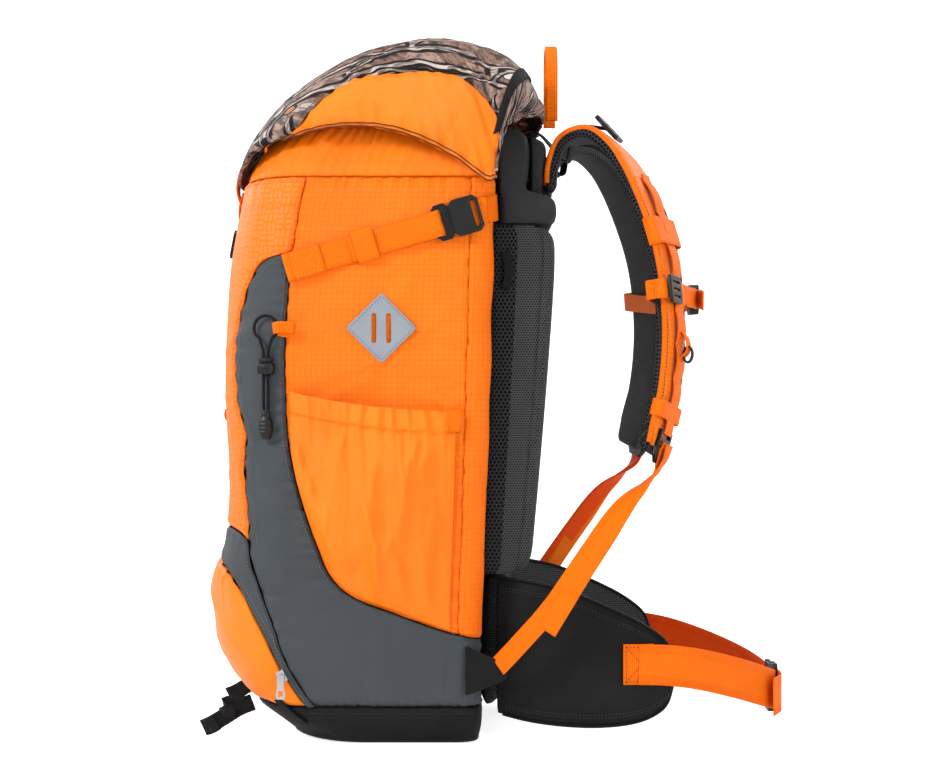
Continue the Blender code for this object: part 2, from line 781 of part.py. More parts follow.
# Harness ------------------------------------------------------------------------------------
def smooth_line(points, n):
    """n + 1 points spread along a smooth curve through the given ones."""
    points = [Vector(p) for p in points]
    lengths = [0.0]
    for a, b in zip(points, points[1:]):
        lengths.append(lengths[-1] + (b - a).length)
    lines = [[(s, p[k]) for s, p in zip(lengths, points)] for k in range(3)]
    return [Vector([curve(line, lengths[-1] * i / n) for line in lines]) for i in range(n + 1)]


def strap_frame(side):
    """The strap's middle line and its across direction, turned outwards below the shoulder."""
    line = smooth_line(STRAP_LINE, 16)
    across = []
    for i in range(len(line)):
        f = min(1.0, i / 7)
        turn = STRAP_TWIST * f * f * (3 - 2 * f)
        across.append(Vector((math.cos(turn), -math.sin(turn), 0)))
    return turned(line, side), turned(across, side)


def strap_axes(side, i):
    """(middle, ahead, across, out of the outer face) of the strap at its i-th point."""
    line, across = strap_frame(side)
    ahead = (line[min(i + 1, len(line) - 1)] - line[max(i - 1, 0)]).normalized()
    a = (across[i] - ahead * across[i].dot(ahead)).normalized()
    out = a.cross(ahead) * side
    return line[i], ahead, a * side, -out if out.dot(Vector((0, 1, 0.8))) < 0 else out


def shoulder_strap(name, side):
    line, across = strap_frame(side)

    def section(f):
        share = 0.80 + 0.20 * math.sin(math.pi * min(1.0, 0.25 + f)) ** 2
        if f >= 0.9:
            share = 0.62 + 0.38 * (1 - f) / 0.1
        a = STRAP_WIDTH / 2 * share
        b, r = STRAP_THICK / 2, 0.005
        half = [(a - r, -b), (a, -b + r), (a, b - r), (a - r, b)]
        return [*half, *[(-x, y) for x, y in reversed(half)]]

    sweep_piece(f"shoulder_strap_{name}", line, across, section, "spacer_mesh")


def strap_hardware(name, side):
    """The adjuster at the strap's tip and the load lifter's lock on top of the shoulder."""
    p, ahead, _, out = strap_axes(side, 15)
    lock = ladder_lock(f"ladder_lock_{name}", WEB_NARROW)
    place(lock, p + out * (STRAP_THICK / 2 + LOCK_THICK / 2 + 0.0012) + ahead * 0.002, ahead, out)
    p, ahead, _, out = strap_axes(side, 4)
    lifter = ladder_lock(f"lifter_lock_{name}", WEB_NARROW * 0.8)
    place(lifter, p + out * (STRAP_THICK / 2 + LOCK_THICK / 2 + 0.0025), -ahead + out * 0.10, out)


STERNUM_AT = 10  # the strap's point that carries the sternum webbing
STERNUM_SHIFT = 0.010


def sternum_pivot(side):
    """Where a sternum webbing leaves the face of its shoulder strap."""
    p, _, across, out = strap_axes(1.0, STERNUM_AT)
    at = p - across * STRAP_WIDTH * 0.1 + out * (STRAP_THICK / 2 + WEB_THICK + CLEAR * 2)
    return Vector((side * at.x, at.y, at.z))


def sternum_strap():
    """Two short webbings and a buckle between the shoulder straps."""
    start = sternum_pivot(1.0)
    edge = start - strap_axes(1.0, STERNUM_AT)[2] * STRAP_WIDTH * 0.45
    middle = Vector((0, edge.y + STERNUM_SHIFT, edge.z))
    up = Vector((0, 0, 1))
    male = buckle_male("sternum_buckle_male", WEB_NARROW * 0.8)
    place(male, middle, (1, 0, 0), (0, 1, 0))
    female = buckle_female("sternum_buckle_female", WEB_NARROW * 0.8)
    place(female, middle, (1, 0, 0), (0, 1, 0))
    for name, side, reach in (("right", 1.0, FEMALE_LENGTH), ("left", -1.0, MALE_LENGTH)):
        end = Vector((reach + CLEAR, middle.y, middle.z))
        line = turned([start, edge, edge.lerp(end, 0.6) + Vector((0, 0.0030, 0)), end], side)
        sweep_piece(f"sternum_strap_{name}", line, [up] * len(line), web_section(WEB_NARROW * 0.8), "orange_webbing")


def adjuster_strap(name, side):
    """Webbing from the pack's lower corner up to the shoulder strap's ladder lock, outside the hip wing."""
    p, ahead, _, out = strap_axes(side, 15)
    top = p + ahead * 0.0415 + out * (STRAP_THICK / 2 + 0.004)
    past_wing = WING_REACH + 0.023
    line = [
        Vector((side * (half_width(0.068) + 0.0055), 0.074, 0.068)),
        Vector((side * past_wing, 0.096, 0.092)),
        Vector((side * past_wing, 0.130, 0.132)),
        Vector((side * (past_wing - 0.008), 0.165, 0.180)),
        Vector((side * (past_wing - 0.019), 0.196, 0.220)),
        top,
    ]
    line = smooth_line(line, 8)
    flat = Vector((0, 0.62, -0.78))
    sweep_piece(f"adjuster_strap_{name}", line, [flat] * len(line), web_section(WEB_NARROW * 0.9), "orange_webbing")


def haul_loop():
    y, z = LOOP_HINGE
    r = LOOP_HALF - WEB_THICK
    line = [Vector((-LOOP_HALF, y, z)), Vector((-LOOP_HALF, y, z + LOOP_HEIGHT - r))]
    top = z + LOOP_HEIGHT - r
    line += [Vector((-LOOP_HALF * math.cos(a), y, top + r * math.sin(a))) for a in steps(0, math.pi, 8)[1:-1]]
    line += [Vector((LOOP_HALF, y, z + LOOP_HEIGHT - r)), Vector((LOOP_HALF, y, z))]
    a, b = LOOP_WEB / 2, WEB_THICK
    section = [(-a, -b), (a, -b), (a, b), (-a, b)]
    sweep_piece("haul_loop", line, [Vector((0, 1, 0))] * len(line), section, "orange_webbing")


# Hip belt -----------------------------------------------------------------------------------
def hip_wing(name, side):
    columns = []
    for x, y, low, high in WING_STATIONS:
        column = [Vector((x, y, low + (high - low) * f)) for f in (0.0, 0.15, 0.5, 0.85, 1.0)]
        columns.append(turned(column, side))
    sheet_piece(f"hip_wing_{name}", columns, "black_cloth", WING_THICK, (0, 0.10, 0.09))


def hip_belt():
    y, z = HIP_BUCKLE
    across = Vector((1, 0, 0))
    out = Vector((0, 1, 0))
    female = buckle_female("hip_buckle_female", WEB_WIDE)
    place(female, (0, y, z), across, out)
    male = buckle_male("hip_buckle_male", WEB_WIDE)
    place(male, (0, y, z), across, out)
    up = Vector((0, 0, 1))
    for name, side, reach in (("right", 1.0, FEMALE_LENGTH), ("left", -1.0, MALE_LENGTH)):
        line = [
            Vector(HIP_STRAP_ROOT),
            *[Vector(p) for p in HIP_LINE],
            Vector((reach + CLEAR + 0.006, y, z)),
            Vector((reach + CLEAR, y, z)),
        ]
        line = turned(line, side)
        sweep_piece(f"hip_strap_{name}", line, [up] * len(line), web_section(WEB_WIDE), "orange_webbing")


# Small things -------------------------------------------------------------------------------
BOTTOM_STRAP = [
    (0.082, -0.152, 0.033),
    (0.084, -0.163, 0.031),
    (0.087, -0.176, 0.022),
    (0.090, -0.188, 0.010),
    (0.092, -0.196, 0.0035),
]


def bottom_strap(name, side):
    """Black lash webbing that hangs from the base at the front."""
    line = turned(smooth_line([(x, fore(y), z) for x, y, z in BOTTOM_STRAP], 6), side)
    sweep_piece(f"bottom_strap_{name}", line, [Vector((1, 0, 0))] * len(line), web_section(0.020), "black_cloth")


BUNGEE_Y = -0.130
BUNGEE_TOP = 0.400
LOCK_AT = 0.352
PULL_TOP = 0.312
BUNGEE_GAP = 0.0022  # half the distance between the two strands
PULL_SIZE = (0.0130, 0.0100, 0.0250)
LOCK_SIZE = (0.0180, 0.0105, 0.0120)


def bungee_surface(z, y=BUNGEE_Y):
    """(point on the bag, outward normal) at the tool loop."""
    t = t_at(fore(y), z)
    p = bag(t, z)
    return p, (bag(t, z, 0.01) - p).normalized()


def bungee_route(out):
    """The elastic from the end pull up through the lock, round its loop and back down."""
    face = bungee_surface(LOCK_AT)[1]
    across = Vector((face.y, -face.x, 0))
    points = []

    def at(shift, z, extra=0.0):
        p, n = bungee_surface(z)
        points.append(p + n * (out + extra) + across * shift)

    for z in steps(PULL_TOP + 0.001, LOCK_AT + 0.012, 4):
        at(-BUNGEE_GAP, z)
    r = 0.0115
    middle = BUNGEE_TOP - r
    for a in steps(-0.32 * math.pi, 1.32 * math.pi, 12):
        at(-r * math.cos(a), middle + r * math.sin(a))
    for z in reversed(steps(PULL_TOP + 0.001, LOCK_AT + 0.012, 4)):
        at(BUNGEE_GAP, z)
    return points


def bungee(name, side):
    """The tool loop's elastic, its end pull and its cord lock."""
    out = 0.0062
    route = turned(bungee_route(out), side)
    data = bpy.data.curves.new(f"bungee_cord_{name}", "CURVE")
    data.dimensions = "3D"
    data.bevel_depth = CORD / 2
    data.bevel_resolution = 2
    data.use_fill_caps = True
    spline = data.splines.new("POLY")
    fine = smooth_line(route, 44)
    spline.points.add(len(fine) - 1)
    for point, place_at in zip(spline.points, fine):
        point.co = (*place_at, 1.0)
    data.materials.append(material("black_cord"))
    obj = bpy.data.objects.new(f"bungee_cord_{name}", data)
    bpy.context.scene.collection.objects.link(obj)
    for what, z, size in (("bungee_pull", PULL_TOP - PULL_SIZE[2] / 2, PULL_SIZE), ("cord_lock", LOCK_AT, LOCK_SIZE)):
        p, n = bungee_surface(z)
        if side < 0:
            p, n = mirrored([p, n])
        half = [s / 2 for s in size]
        piece = add_object(f"{what}_{name}", box_mesh(what, [-h for h in half], half), "black_plastic")
        bevel = piece.modifiers.new("Round", "BEVEL")
        bevel.width = 0.0022
        bevel.segments = 2
        if what == "cord_lock":
            cut(piece, ((-0.0045, -0.0024, -0.02), (0.0045, 0.0024, 0.02)))
        turn = Matrix((n.cross(Vector((0, 0, 1))), -n, Vector((0, 0, 1)))).transposed()
        if turn.determinant() < 0:
            turn = Matrix((-n.cross(Vector((0, 0, 1))), -n, Vector((0, 0, 1)))).transposed()
        piece.matrix_world = Matrix.Translation(p + n * out) @ turn.to_4x4()


ZIP_START = (0.066, 0.124)  # heights that the slider runs between


def zip_point(z):
    return bag(seam_t(ZIP_SEAM[1:5], z), z, 0.0028)


def zip_hardware():
    low, high = zip_point(ZIP_START[0]), zip_point(ZIP_START[1])
    along = (high - low).normalized()
    t = seam_t(ZIP_SEAM[1:5], ZIP_START[0])
    out = (bag(t, ZIP_START[0], 0.01) - bag(t, ZIP_START[0])).normalized()
    body = box_mesh("zip_slider", (-0.0055, -0.0038, -0.0006), (0.0055, 0.0038, 0.0034))
    slider = add_object("zip_slider", body, "zip_metal")
    place(slider, low + out * 0.0016, along, out)
    pull = outline_piece(
        "zip_pull",
        [(-0.0022, -0.0030), (0.0, -0.0036), (0.010, -0.0030), (0.017, -0.0048), (0.021, -0.0040)]
        + [(0.021, 0.0040), (0.017, 0.0048), (0.010, 0.0030), (0.0, 0.0036), (-0.0022, 0.0030)],
        -0.0006,
        0.0006,
        "zip_metal",
    )
    cut(pull, ((0.0130, -0.0022, -0.002), (0.0180, 0.0022, 0.002)))
    place(pull, low + out * 0.0080, (0, 0, -1), out)


def drawcord():
    """The cord in the collar's hem, and the lock that its two ends leave through."""
    line = ring(COLLAR_TOP - HEM_CORD, CORD / 2 + CLEAR * 2)
    r = CORD / 2
    n = 6
    points, faces = [], []
    for i, p in enumerate(line):
        ahead = (line[(i + 1) % len(line)] - line[i - 1]).normalized()
        side = ahead.cross(Vector((0, 0, 1))).normalized()
        for k in range(n):
            a = 2 * math.pi * k / n
            points.append(p + side * r * math.cos(a) + Vector((0, 0, r * math.sin(a))))
    m = len(line)
    for i in range(m):
        for k in range(n):
            j = (i + 1) % m
            faces.append((i * n + k, i * n + (k + 1) % n, j * n + (k + 1) % n, j * n + k))
    closed_piece("drawcord", points, faces, "black_cord")
    half = (0.009, 0.005, 0.006)
    lock = add_object("drawcord_lock", box_mesh("drawcord_lock", [-h for h in half], half), "black_plastic")
    bevel = lock.modifiers.new("Round", "BEVEL")
    bevel.width = 0.0020
    bevel.segments = 2
    z = COLLAR_TOP - HEM_CORD - CORD / 2 - half[2]
    lock.matrix_world = Matrix.Translation((0, front_y(z - half[2]) - half[1] - CLEAR * 2, z))


def pivot(name, at, *nodes):
    """An empty on a joint's axis that carries the pieces moving about it."""
    empty = bpy.data.objects.new(name, None)
    empty.location = at
    empty.empty_display_size = 0.02
    bpy.context.scene.collection.objects.link(empty)
    for node in nodes:
        obj = bpy.data.objects[node]
        obj.parent = empty
        obj.matrix_parent_inverse = Matrix.Translation(Vector(at)).inverted()


def pivots():
    pivot("lid_hinge", (0, *LID_HINGE), "lid_shell", "lid_strap", "lid_buckle_male")
    pivot("haul_loop_fold", (0, *LOOP_HINGE), "haul_loop")
    for name, side in (("right", 1.0), ("left", -1.0)):
        half = "female" if side > 0 else "male"
        pivot(f"shoulder_{name}_swing", (0, *SHOULDER_HINGE), f"shoulder_strap_{name}")
        pivot(f"sternum_{name}_swing", sternum_pivot(side), f"sternum_strap_{name}", f"sternum_buckle_{half}")
        pivot(f"hip_{name}_swing", (side * HIP_HINGE[0], HIP_HINGE[1], 0.0), f"hip_wing_{name}")
        at = (side * HIP_STRAP_ROOT[0], *HIP_STRAP_ROOT[1:])
        pivot(f"hip_strap_{name}_swing", at, f"hip_strap_{name}", f"hip_buckle_{half}")
        at = side_strap_start(side)
        pivot(f"side_strap_{name}_swing", at, f"side_strap_{name}", f"side_buckle_male_{name}")
        for lock, i in ((f"ladder_lock_{name}", 15), (f"lifter_lock_{name}", 4)):
            p, _, _, out = strap_axes(side, i)
            pivot(f"{lock}_tilt", p + out * STRAP_THICK / 2, lock)
    pivot("zip_pull_swing", bpy.data.objects["zip_pull"].matrix_world.translation.copy(), "zip_pull")


def build():
    for obj in list(bpy.data.objects):
        bpy.data.objects.remove(obj)
    front_panel()
    both_sides(side_panel)
    both_sides(corner_gusset)
    back_panel()
    base_panel()
    collar()
    bottom_pocket()
    zip_band()
    both_sides(side_pocket)
    inner_frame()
    both_sides(back_pad)
    yoke_panel()
    lumbar_pad()
    lid_shell()
    front_webbing()
    both_sides(side_strap)
    both_sides(shoulder_strap)
    both_sides(strap_hardware)
    sternum_strap()
    both_sides(adjuster_strap)
    haul_loop()
    both_sides(hip_wing)
    hip_belt()
    both_sides(bottom_strap)
    both_sides(bungee)
    zip_hardware()
    drawcord()
    pivots()


build()
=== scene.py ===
import json
import math

import bmesh
import bpy
import numpy as np
from mathutils import Matrix, Vector

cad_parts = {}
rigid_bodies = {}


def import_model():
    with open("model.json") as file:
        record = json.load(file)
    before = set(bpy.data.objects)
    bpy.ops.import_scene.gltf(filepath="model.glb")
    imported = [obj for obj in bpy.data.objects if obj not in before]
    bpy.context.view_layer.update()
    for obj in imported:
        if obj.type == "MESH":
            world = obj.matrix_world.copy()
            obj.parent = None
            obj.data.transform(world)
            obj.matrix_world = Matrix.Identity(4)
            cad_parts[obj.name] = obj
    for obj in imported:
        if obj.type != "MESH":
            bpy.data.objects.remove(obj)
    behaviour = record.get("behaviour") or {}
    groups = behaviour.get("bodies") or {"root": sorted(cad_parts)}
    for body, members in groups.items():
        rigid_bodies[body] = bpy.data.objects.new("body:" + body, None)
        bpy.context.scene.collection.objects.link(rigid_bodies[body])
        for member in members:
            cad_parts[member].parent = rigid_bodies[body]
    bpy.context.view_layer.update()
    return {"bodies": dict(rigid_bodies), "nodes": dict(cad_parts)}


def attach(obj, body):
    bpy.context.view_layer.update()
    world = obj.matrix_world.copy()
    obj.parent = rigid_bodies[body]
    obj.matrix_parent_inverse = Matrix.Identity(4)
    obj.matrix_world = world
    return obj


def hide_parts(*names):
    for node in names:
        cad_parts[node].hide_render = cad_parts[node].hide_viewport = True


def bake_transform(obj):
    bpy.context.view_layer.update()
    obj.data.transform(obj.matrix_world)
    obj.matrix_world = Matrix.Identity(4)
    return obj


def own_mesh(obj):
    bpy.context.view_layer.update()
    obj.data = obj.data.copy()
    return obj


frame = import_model()
scene = bpy.context.scene

# ---- stage: pale sweep, soft boxes, camera level with the middle of the pack
studio = {
    "floorRadius": 3.0,
    "sweepRadius": 1.2,
    "wallTop": 4.5,
    "paper": (0.85, 0.85, 0.855, 1.0),
    "cameraAt": (2.0, 0.055, 0.336),
    "lens": 76.9,
    "glow": (0.10, 0.62),  # what the paper gives the room, and what more the lens sees of it
    "air": 0.14,
    "lights": [  # place, aim, size, watts
        ((1.6, -2.2, 2.0), (0, 0.0, 0.36), 0.7, 66),
        ((2.5, 1.6, 0.9), (0, 0.1, 0.35), 1.3, 22),
        ((0.3, 0.2, 3.0), (0, 0.05, 0.3), 1.2, 34),
        ((-1.8, 1.9, 1.8), (0, 0.1, 0.4), 1.4, 26),
        ((-1.9, -1.8, 1.6), (0, 0.0, 0.35), 1.4, 24),
    ],
}


def aimAt(obj, target):
    obj.rotation_euler = (Vector(target) - obj.location).to_track_quat("-Z", "Y").to_euler()


def buildStage():
    r, s, top = studio["floorRadius"], studio["sweepRadius"], studio["wallTop"]
    profile = [(0.0, 0.0), (r * 0.5, 0.0), (r, 0.0)]
    profile += [(r + s * math.sin(a), s - s * math.cos(a)) for a in np.linspace(0, math.pi / 2, 9)[1:]]
    profile.append((r + s, top))
    turns = 48
    points = [(x * math.cos(a), x * math.sin(a), z) for x, z in profile for a in np.arange(turns) * 2 * math.pi / turns]
    faces = [
        (i * turns + k, i * turns + (k + 1) % turns, (i + 1) * turns + (k + 1) % turns, (i + 1) * turns + k)
        for i in range(len(profile) - 1)
        for k in range(turns)
    ]
    mesh = bpy.data.meshes.new("floorSweep")
    mesh.from_pydata(points, [], faces)
    mesh.flip_normals()
    mesh.shade_smooth()
    paper = bpy.data.materials.new("paper")
    paper.use_nodes = True
    paper.node_tree.nodes["Principled BSDF"].inputs["Base Color"].default_value = studio["paper"]
    paper.node_tree.nodes["Principled BSDF"].inputs["Roughness"].default_value = 0.9
    paper.node_tree.nodes["Principled BSDF"].inputs["Emission Color"].default_value = (1.0, 1.0, 1.0, 1.0)
    glow = paper.node_tree.nodes.new("ShaderNodeMath")
    glow.operation = "MULTIPLY_ADD"
    glow.inputs[1].default_value, glow.inputs[2].default_value = studio["glow"][1], studio["glow"][0]
    seen = paper.node_tree.nodes.new("ShaderNodeLightPath")
    paper.node_tree.links.new(seen.outputs["Is Camera Ray"], glow.inputs[0])
    paper.node_tree.links.new(glow.outputs[0], paper.node_tree.nodes["Principled BSDF"].inputs["Emission Strength"])
    mesh.materials.append(paper)
    floor = bpy.data.objects.new("floorSweep", mesh)
    scene.collection.objects.link(floor)
    for i, (at, aim, size, watts) in enumerate(studio["lights"]):
        lamp = bpy.data.lights.new(f"softBox{i}", "AREA")
        lamp.energy, lamp.size = watts, size
        light = bpy.data.objects.new(f"softBox{i}", lamp)
        light.location = at
        aimAt(light, aim)
        scene.collection.objects.link(light)
    world = bpy.data.worlds.new("studioAir")
    world.use_nodes = True
    world.node_tree.nodes["Background"].inputs["Color"].default_value = (1.0, 1.0, 1.0, 1.0)
    world.node_tree.nodes["Background"].inputs["Strength"].default_value = studio["air"]
    scene.world = world
    camera = bpy.data.objects.new("camera", bpy.data.cameras.new("camera"))
    camera.data.lens = studio["lens"]
    camera.location = studio["cameraAt"]
    camera.rotation_euler = (math.pi / 2, 0, math.pi / 2)
    scene.collection.objects.link(camera)
    scene.camera = camera
    scene.view_settings.view_transform = "Standard"


buildStage()
print("stage, lights and camera are up")

# ---- shader building blocks


def put(tree, kind, inputs=None, **settings):
    node = tree.nodes.new("ShaderNode" + kind)
    for key, value in settings.items():
        setattr(node, key, value)
    for key, value in (inputs or {}).items():
        if isinstance(value, bpy.types.NodeSocket):
            tree.links.new(value, node.inputs[key])
        else:
            node.inputs[key].default_value = value
    return node


def calc(tree, operation, a, b=0.0, c=0.0, clamp=False):
    node = put(tree, "Math", {0: a, 1: b, 2: c}, operation=operation)
    node.use_clamp = clamp
    return node.outputs[0]


def mixColour(tree, factor, a, b, blend="MIX"):
    node = tree.nodes.new("ShaderNodeMix")
    node.data_type, node.blend_type = "RGBA", blend
    for socket, value in ((node.inputs[0], factor), (node.inputs[6], a), (node.inputs[7], b)):
        if isinstance(value, bpy.types.NodeSocket):
            tree.links.new(value, socket)
        elif isinstance(value, (int, float)):
            socket.default_value = value
        else:
            socket.default_value = (*value[:3], 1.0)
    return node.outputs[2]


def smoothStep(tree, value, low, high, toLow=0.0, toHigh=1.0):
    node = put(tree, "MapRange", {"Value": value, 1: low, 2: high, 3: toLow, 4: toHigh})
    node.interpolation_type = "SMOOTHSTEP"
    return node.outputs[0]


def newGroup(name, inputs, outputs):
    group = bpy.data.node_groups.new(name, "ShaderNodeTree")
    for label, kind, value in inputs:
        socket = group.interface.new_socket(label, in_out="INPUT", socket_type=kind)
        if value is not None:
            socket.default_value = value
    for label, kind in outputs:
        group.interface.new_socket(label, in_out="OUTPUT", socket_type=kind)
    return group, group.nodes.new("NodeGroupInput").outputs, group.nodes.new("NodeGroupOutput").inputs


def wovenGroup():
    # plain weave with optional ripstop squares; all sizes in metres of cloth
    group, given, made = newGroup(
        "wovenThreads",
        [("Cut", "NodeSocketVector", None), ("Thread", "NodeSocketFloat", 0.001), ("Square", "NodeSocketFloat", 0.005)],
        [("Height", "NodeSocketFloat"), ("Lines", "NodeSocketFloat"), ("Crinkle", "NodeSocketFloat")],
    )
    split = put(group, "SeparateXYZ", {0: given["Cut"]})
    waves, lines = [], []
    for axis in (0, 1):
        turn = calc(group, "DIVIDE", calc(group, "MULTIPLY", split.outputs[axis], 2 * math.pi), given["Thread"])
        waves.append(calc(group, "SINE", turn))
        half = calc(group, "MULTIPLY", given["Square"], 0.5)
        near = calc(group, "PINGPONG", split.outputs[axis], half)
        lines.append(smoothStep(group, near, 0.00015, 0.0006, 1.0, 0.0))
    weave = calc(group, "MULTIPLY", waves[0], waves[1])
    grid = calc(group, "MAXIMUM", lines[0], lines[1])
    crinkle = put(group, "TexNoise", {"Vector": given["Cut"], "Scale": 95.0, "Detail": 5.0, "Roughness": 0.62, "Distortion": 0.6})
    group.links.new(calc(group, "ADD", calc(group, "MULTIPLY", weave, 0.25), calc(group, "MULTIPLY", grid, 0.6)), made["Height"])
    group.links.new(grid, made["Lines"])
    group.links.new(crinkle.outputs["Fac"], made["Crinkle"])
    return group


def ribbedGroup():
    # webbing: ribs straight across and plain selvedges; cut x runs along, cut y across
    group, given, made = newGroup(
        "ribbedWebbing",
        [("Cut", "NodeSocketVector", None), ("Rib", "NodeSocketFloat", 0.0022), ("Half", "NodeSocketFloat", 0.0125)],
        [("Height", "NodeSocketFloat"), ("Shade", "NodeSocketFloat")],
    )
    split = put(group, "SeparateXYZ", {0: given["Cut"]})
    turn = calc(group, "DIVIDE", calc(group, "MULTIPLY", split.outputs[0], 2 * math.pi), given["Rib"])
    rib = calc(group, "MULTIPLY", calc(group, "ADD", calc(group, "SINE", turn), 1.0), 0.5)
    thread = calc(group, "SINE", calc(group, "MULTIPLY", split.outputs[1], 2 * math.pi / 0.0013))
    edge = smoothStep(group, calc(group, "DIVIDE", calc(group, "ABSOLUTE", split.outputs[1]), given["Half"]), 0.80, 0.9, 0.0, 1.0)
    height = calc(group, "ADD", rib, calc(group, "MULTIPLY", thread, 0.25))
    group.links.new(calc(group, "ADD", height, calc(group, "MULTIPLY", edge, 0.5)), made["Height"])
    # Shade is low in the valleys between ribs, a painted shade, and low along the selvedges
    group.links.new(calc(group, "MULTIPLY", rib, calc(group, "SUBTRACT", 1.0, calc(group, "MULTIPLY", edge, 0.6))), made["Shade"])
    return group


def nettingGroup():
    # knitted spacer mesh: two staggered lattices of round holes
    group, given, made = newGroup(
        "knittedHoles",
        [("Cut", "NodeSocketVector", None), ("Pitch", "NodeSocketFloat", 0.004), ("Hole", "NodeSocketFloat", 0.33)],
        [("Hole", "NodeSocketFloat"), ("Height", "NodeSocketFloat")],
    )
    scaled = put(group, "VectorMath", {0: given["Cut"], 1: (1.0, 0.577, 0.0)}, operation="MULTIPLY")
    unit = put(group, "VectorMath", {0: scaled.outputs[0]}, operation="SCALE")
    group.links.new(calc(group, "DIVIDE", 1.0, given["Pitch"]), unit.inputs["Scale"])
    distances = []
    for shift in ((0.0, 0.0, 0.0), (0.5, 0.5, 0.0)):
        moved = put(group, "VectorMath", {0: unit.outputs[0], 1: shift}, operation="ADD")
        cell = put(group, "VectorMath", {0: moved.outputs[0]}, operation="FRACTION")
        centred = put(group, "VectorMath", {0: cell.outputs[0], 1: (-0.5, -0.5, 0.0)}, operation="ADD")
        true = put(group, "VectorMath", {0: centred.outputs[0], 1: (1.0, 1.733, 0.0)}, operation="MULTIPLY")
        distances.append(put(group, "VectorMath", {0: true.outputs[0]}, operation="LENGTH").outputs["Value"])
    nearest = calc(group, "MINIMUM", distances[0], distances[1])
    outer = calc(group, "ADD", given["Hole"], 0.10)
    hole = put(group, "MapRange", {"Value": nearest, 1: given["Hole"], 2: outer, 3: 1.0, 4: 0.0})
    group.links.new(hole.outputs[0], made["Hole"])
    group.links.new(calc(group, "SUBTRACT", 1.0, hole.outputs[0]), made["Height"])
    return group


def toneGroup():
    # slow change of tone over a piece, with a little dust
    group, given, made = newGroup(
        "tone",
        [("Place", "NodeSocketVector", None), ("Size", "NodeSocketFloat", 9.0)],
        [("Tone", "NodeSocketFloat"), ("Dust", "NodeSocketFloat")],
    )
    slow = put(group, "TexNoise", {"Vector": given["Place"], "Scale": given["Size"], "Detail": 3.0})
    fine = put(group, "TexNoise", {"Vector": given["Place"], "Scale": 420.0, "Detail": 2.0})
    group.links.new(slow.outputs["Fac"], made["Tone"])
    group.links.new(smoothStep(group, fine.outputs["Fac"], 0.62, 0.75), made["Dust"])
    return group


groups = {"woven": wovenGroup(), "ribbed": ribbedGroup(), "netting": nettingGroup(), "tone": toneGroup()}


def useGroup(tree, name, inputs):
    node = tree.nodes.new("ShaderNodeGroup")
    node.node_tree = groups[name]
    for key, value in inputs.items():
        if isinstance(value, bpy.types.NodeSocket):
            tree.links.new(value, node.inputs[key])
        else:
            node.inputs[key].default_value = value
    return node.outputs


def startMaterial(name, roughness, metallic=0.0, specular=0.3):
    made = bpy.data.materials.new(name)
    made.use_nodes = True
    tree = made.node_tree
    shader = tree.nodes["Principled BSDF"]
    shader.inputs["Roughness"].default_value = roughness
    shader.inputs["Metallic"].default_value = metallic
    shader.inputs["Specular IOR Level"].default_value = specular
    cut = put(tree, "UVMap", uv_map="cut").outputs["UV"]
    place = put(tree, "TexCoord").outputs["Object"]
    return made, tree, shader, cut, place


def bumpInto(tree, shader, height, distance, strength=1.0):
    bump = put(tree, "Bump", {"Strength": strength, "Distance": distance, "Height": height})
    tree.links.new(bump.outputs["Normal"], shader.inputs["Normal"])


def clothMaterial(name, look):
    made, tree, shader, cut, place = startMaterial(name, look["roughness"], specular=look.get("gloss", 0.14))
    woven = useGroup(tree, "woven", {"Cut": cut, "Thread": look["thread"], "Square": look.get("square", 1.0)})
    tone = useGroup(tree, "tone", {"Place": place, "Size": look.get("toneSize", 9.0)})
    colour = mixColour(tree, smoothStep(tree, tone["Tone"], 0.35, 0.65), look["colour"], look["second"])
    colour = mixColour(tree, calc(tree, "MULTIPLY", woven["Lines"], look.get("lineShade", 0.0)), colour, look.get("line", look["second"]))
    # raised threads are painted lighter: a painted highlight on the crowns of the weave
    crownHighlight = calc(tree, "MULTIPLY", woven["Height"], look.get("weaveShade", 0.2), clamp=True)
    colour = mixColour(tree, crownHighlight, colour, look.get("crownHighlight", look["second"]))
    tree.links.new(colour, shader.inputs["Base Color"])
    crinkled = calc(tree, "MULTIPLY", woven["Crinkle"], look.get("crinkle", 2.0))
    bumpInto(tree, shader, calc(tree, "ADD", woven["Height"], crinkled), look.get("bump", 0.0004))
    return made


def webMaterial(name, look):
    made, tree, shader, cut, place = startMaterial(name, look["roughness"], specular=0.12)
    ribbed = useGroup(tree, "ribbed", {"Cut": cut, "Rib": look.get("rib", 0.0022), "Half": look.get("half", 0.0125)})
    tone = useGroup(tree, "tone", {"Place": place, "Size": 14.0})
    # rib valleys take the darker colour: painted shade between the ribs; the selvedges are darker too
    colour = mixColour(tree, ribbed["Shade"], look["second"], look["colour"])
    colour = mixColour(tree, calc(tree, "MULTIPLY", tone["Tone"], 0.35), colour, look["third"])
    tree.links.new(colour, shader.inputs["Base Color"])
    bumpInto(tree, shader, ribbed["Height"], 0.0005)
    return made


def meshMaterial(name, look):
    made, tree, shader, cut, place = startMaterial(name, look["roughness"], specular=0.12)
    netting = useGroup(tree, "netting", {"Cut": cut, "Pitch": look["pitch"], "Hole": look["hole"]})
    tone = useGroup(tree, "tone", {"Place": place, "Size": 12.0})
    yarn = mixColour(tree, tone["Tone"], look["colour"], look["second"])
    # the holes take a near-black colour: painted shade down in the mesh, over its dark lower layer
    colour = mixColour(tree, netting["Hole"], yarn, look["under"])
    tree.links.new(colour, shader.inputs["Base Color"])
    bumpInto(tree, shader, netting["Height"], look.get("bump", 0.0008))
    return made


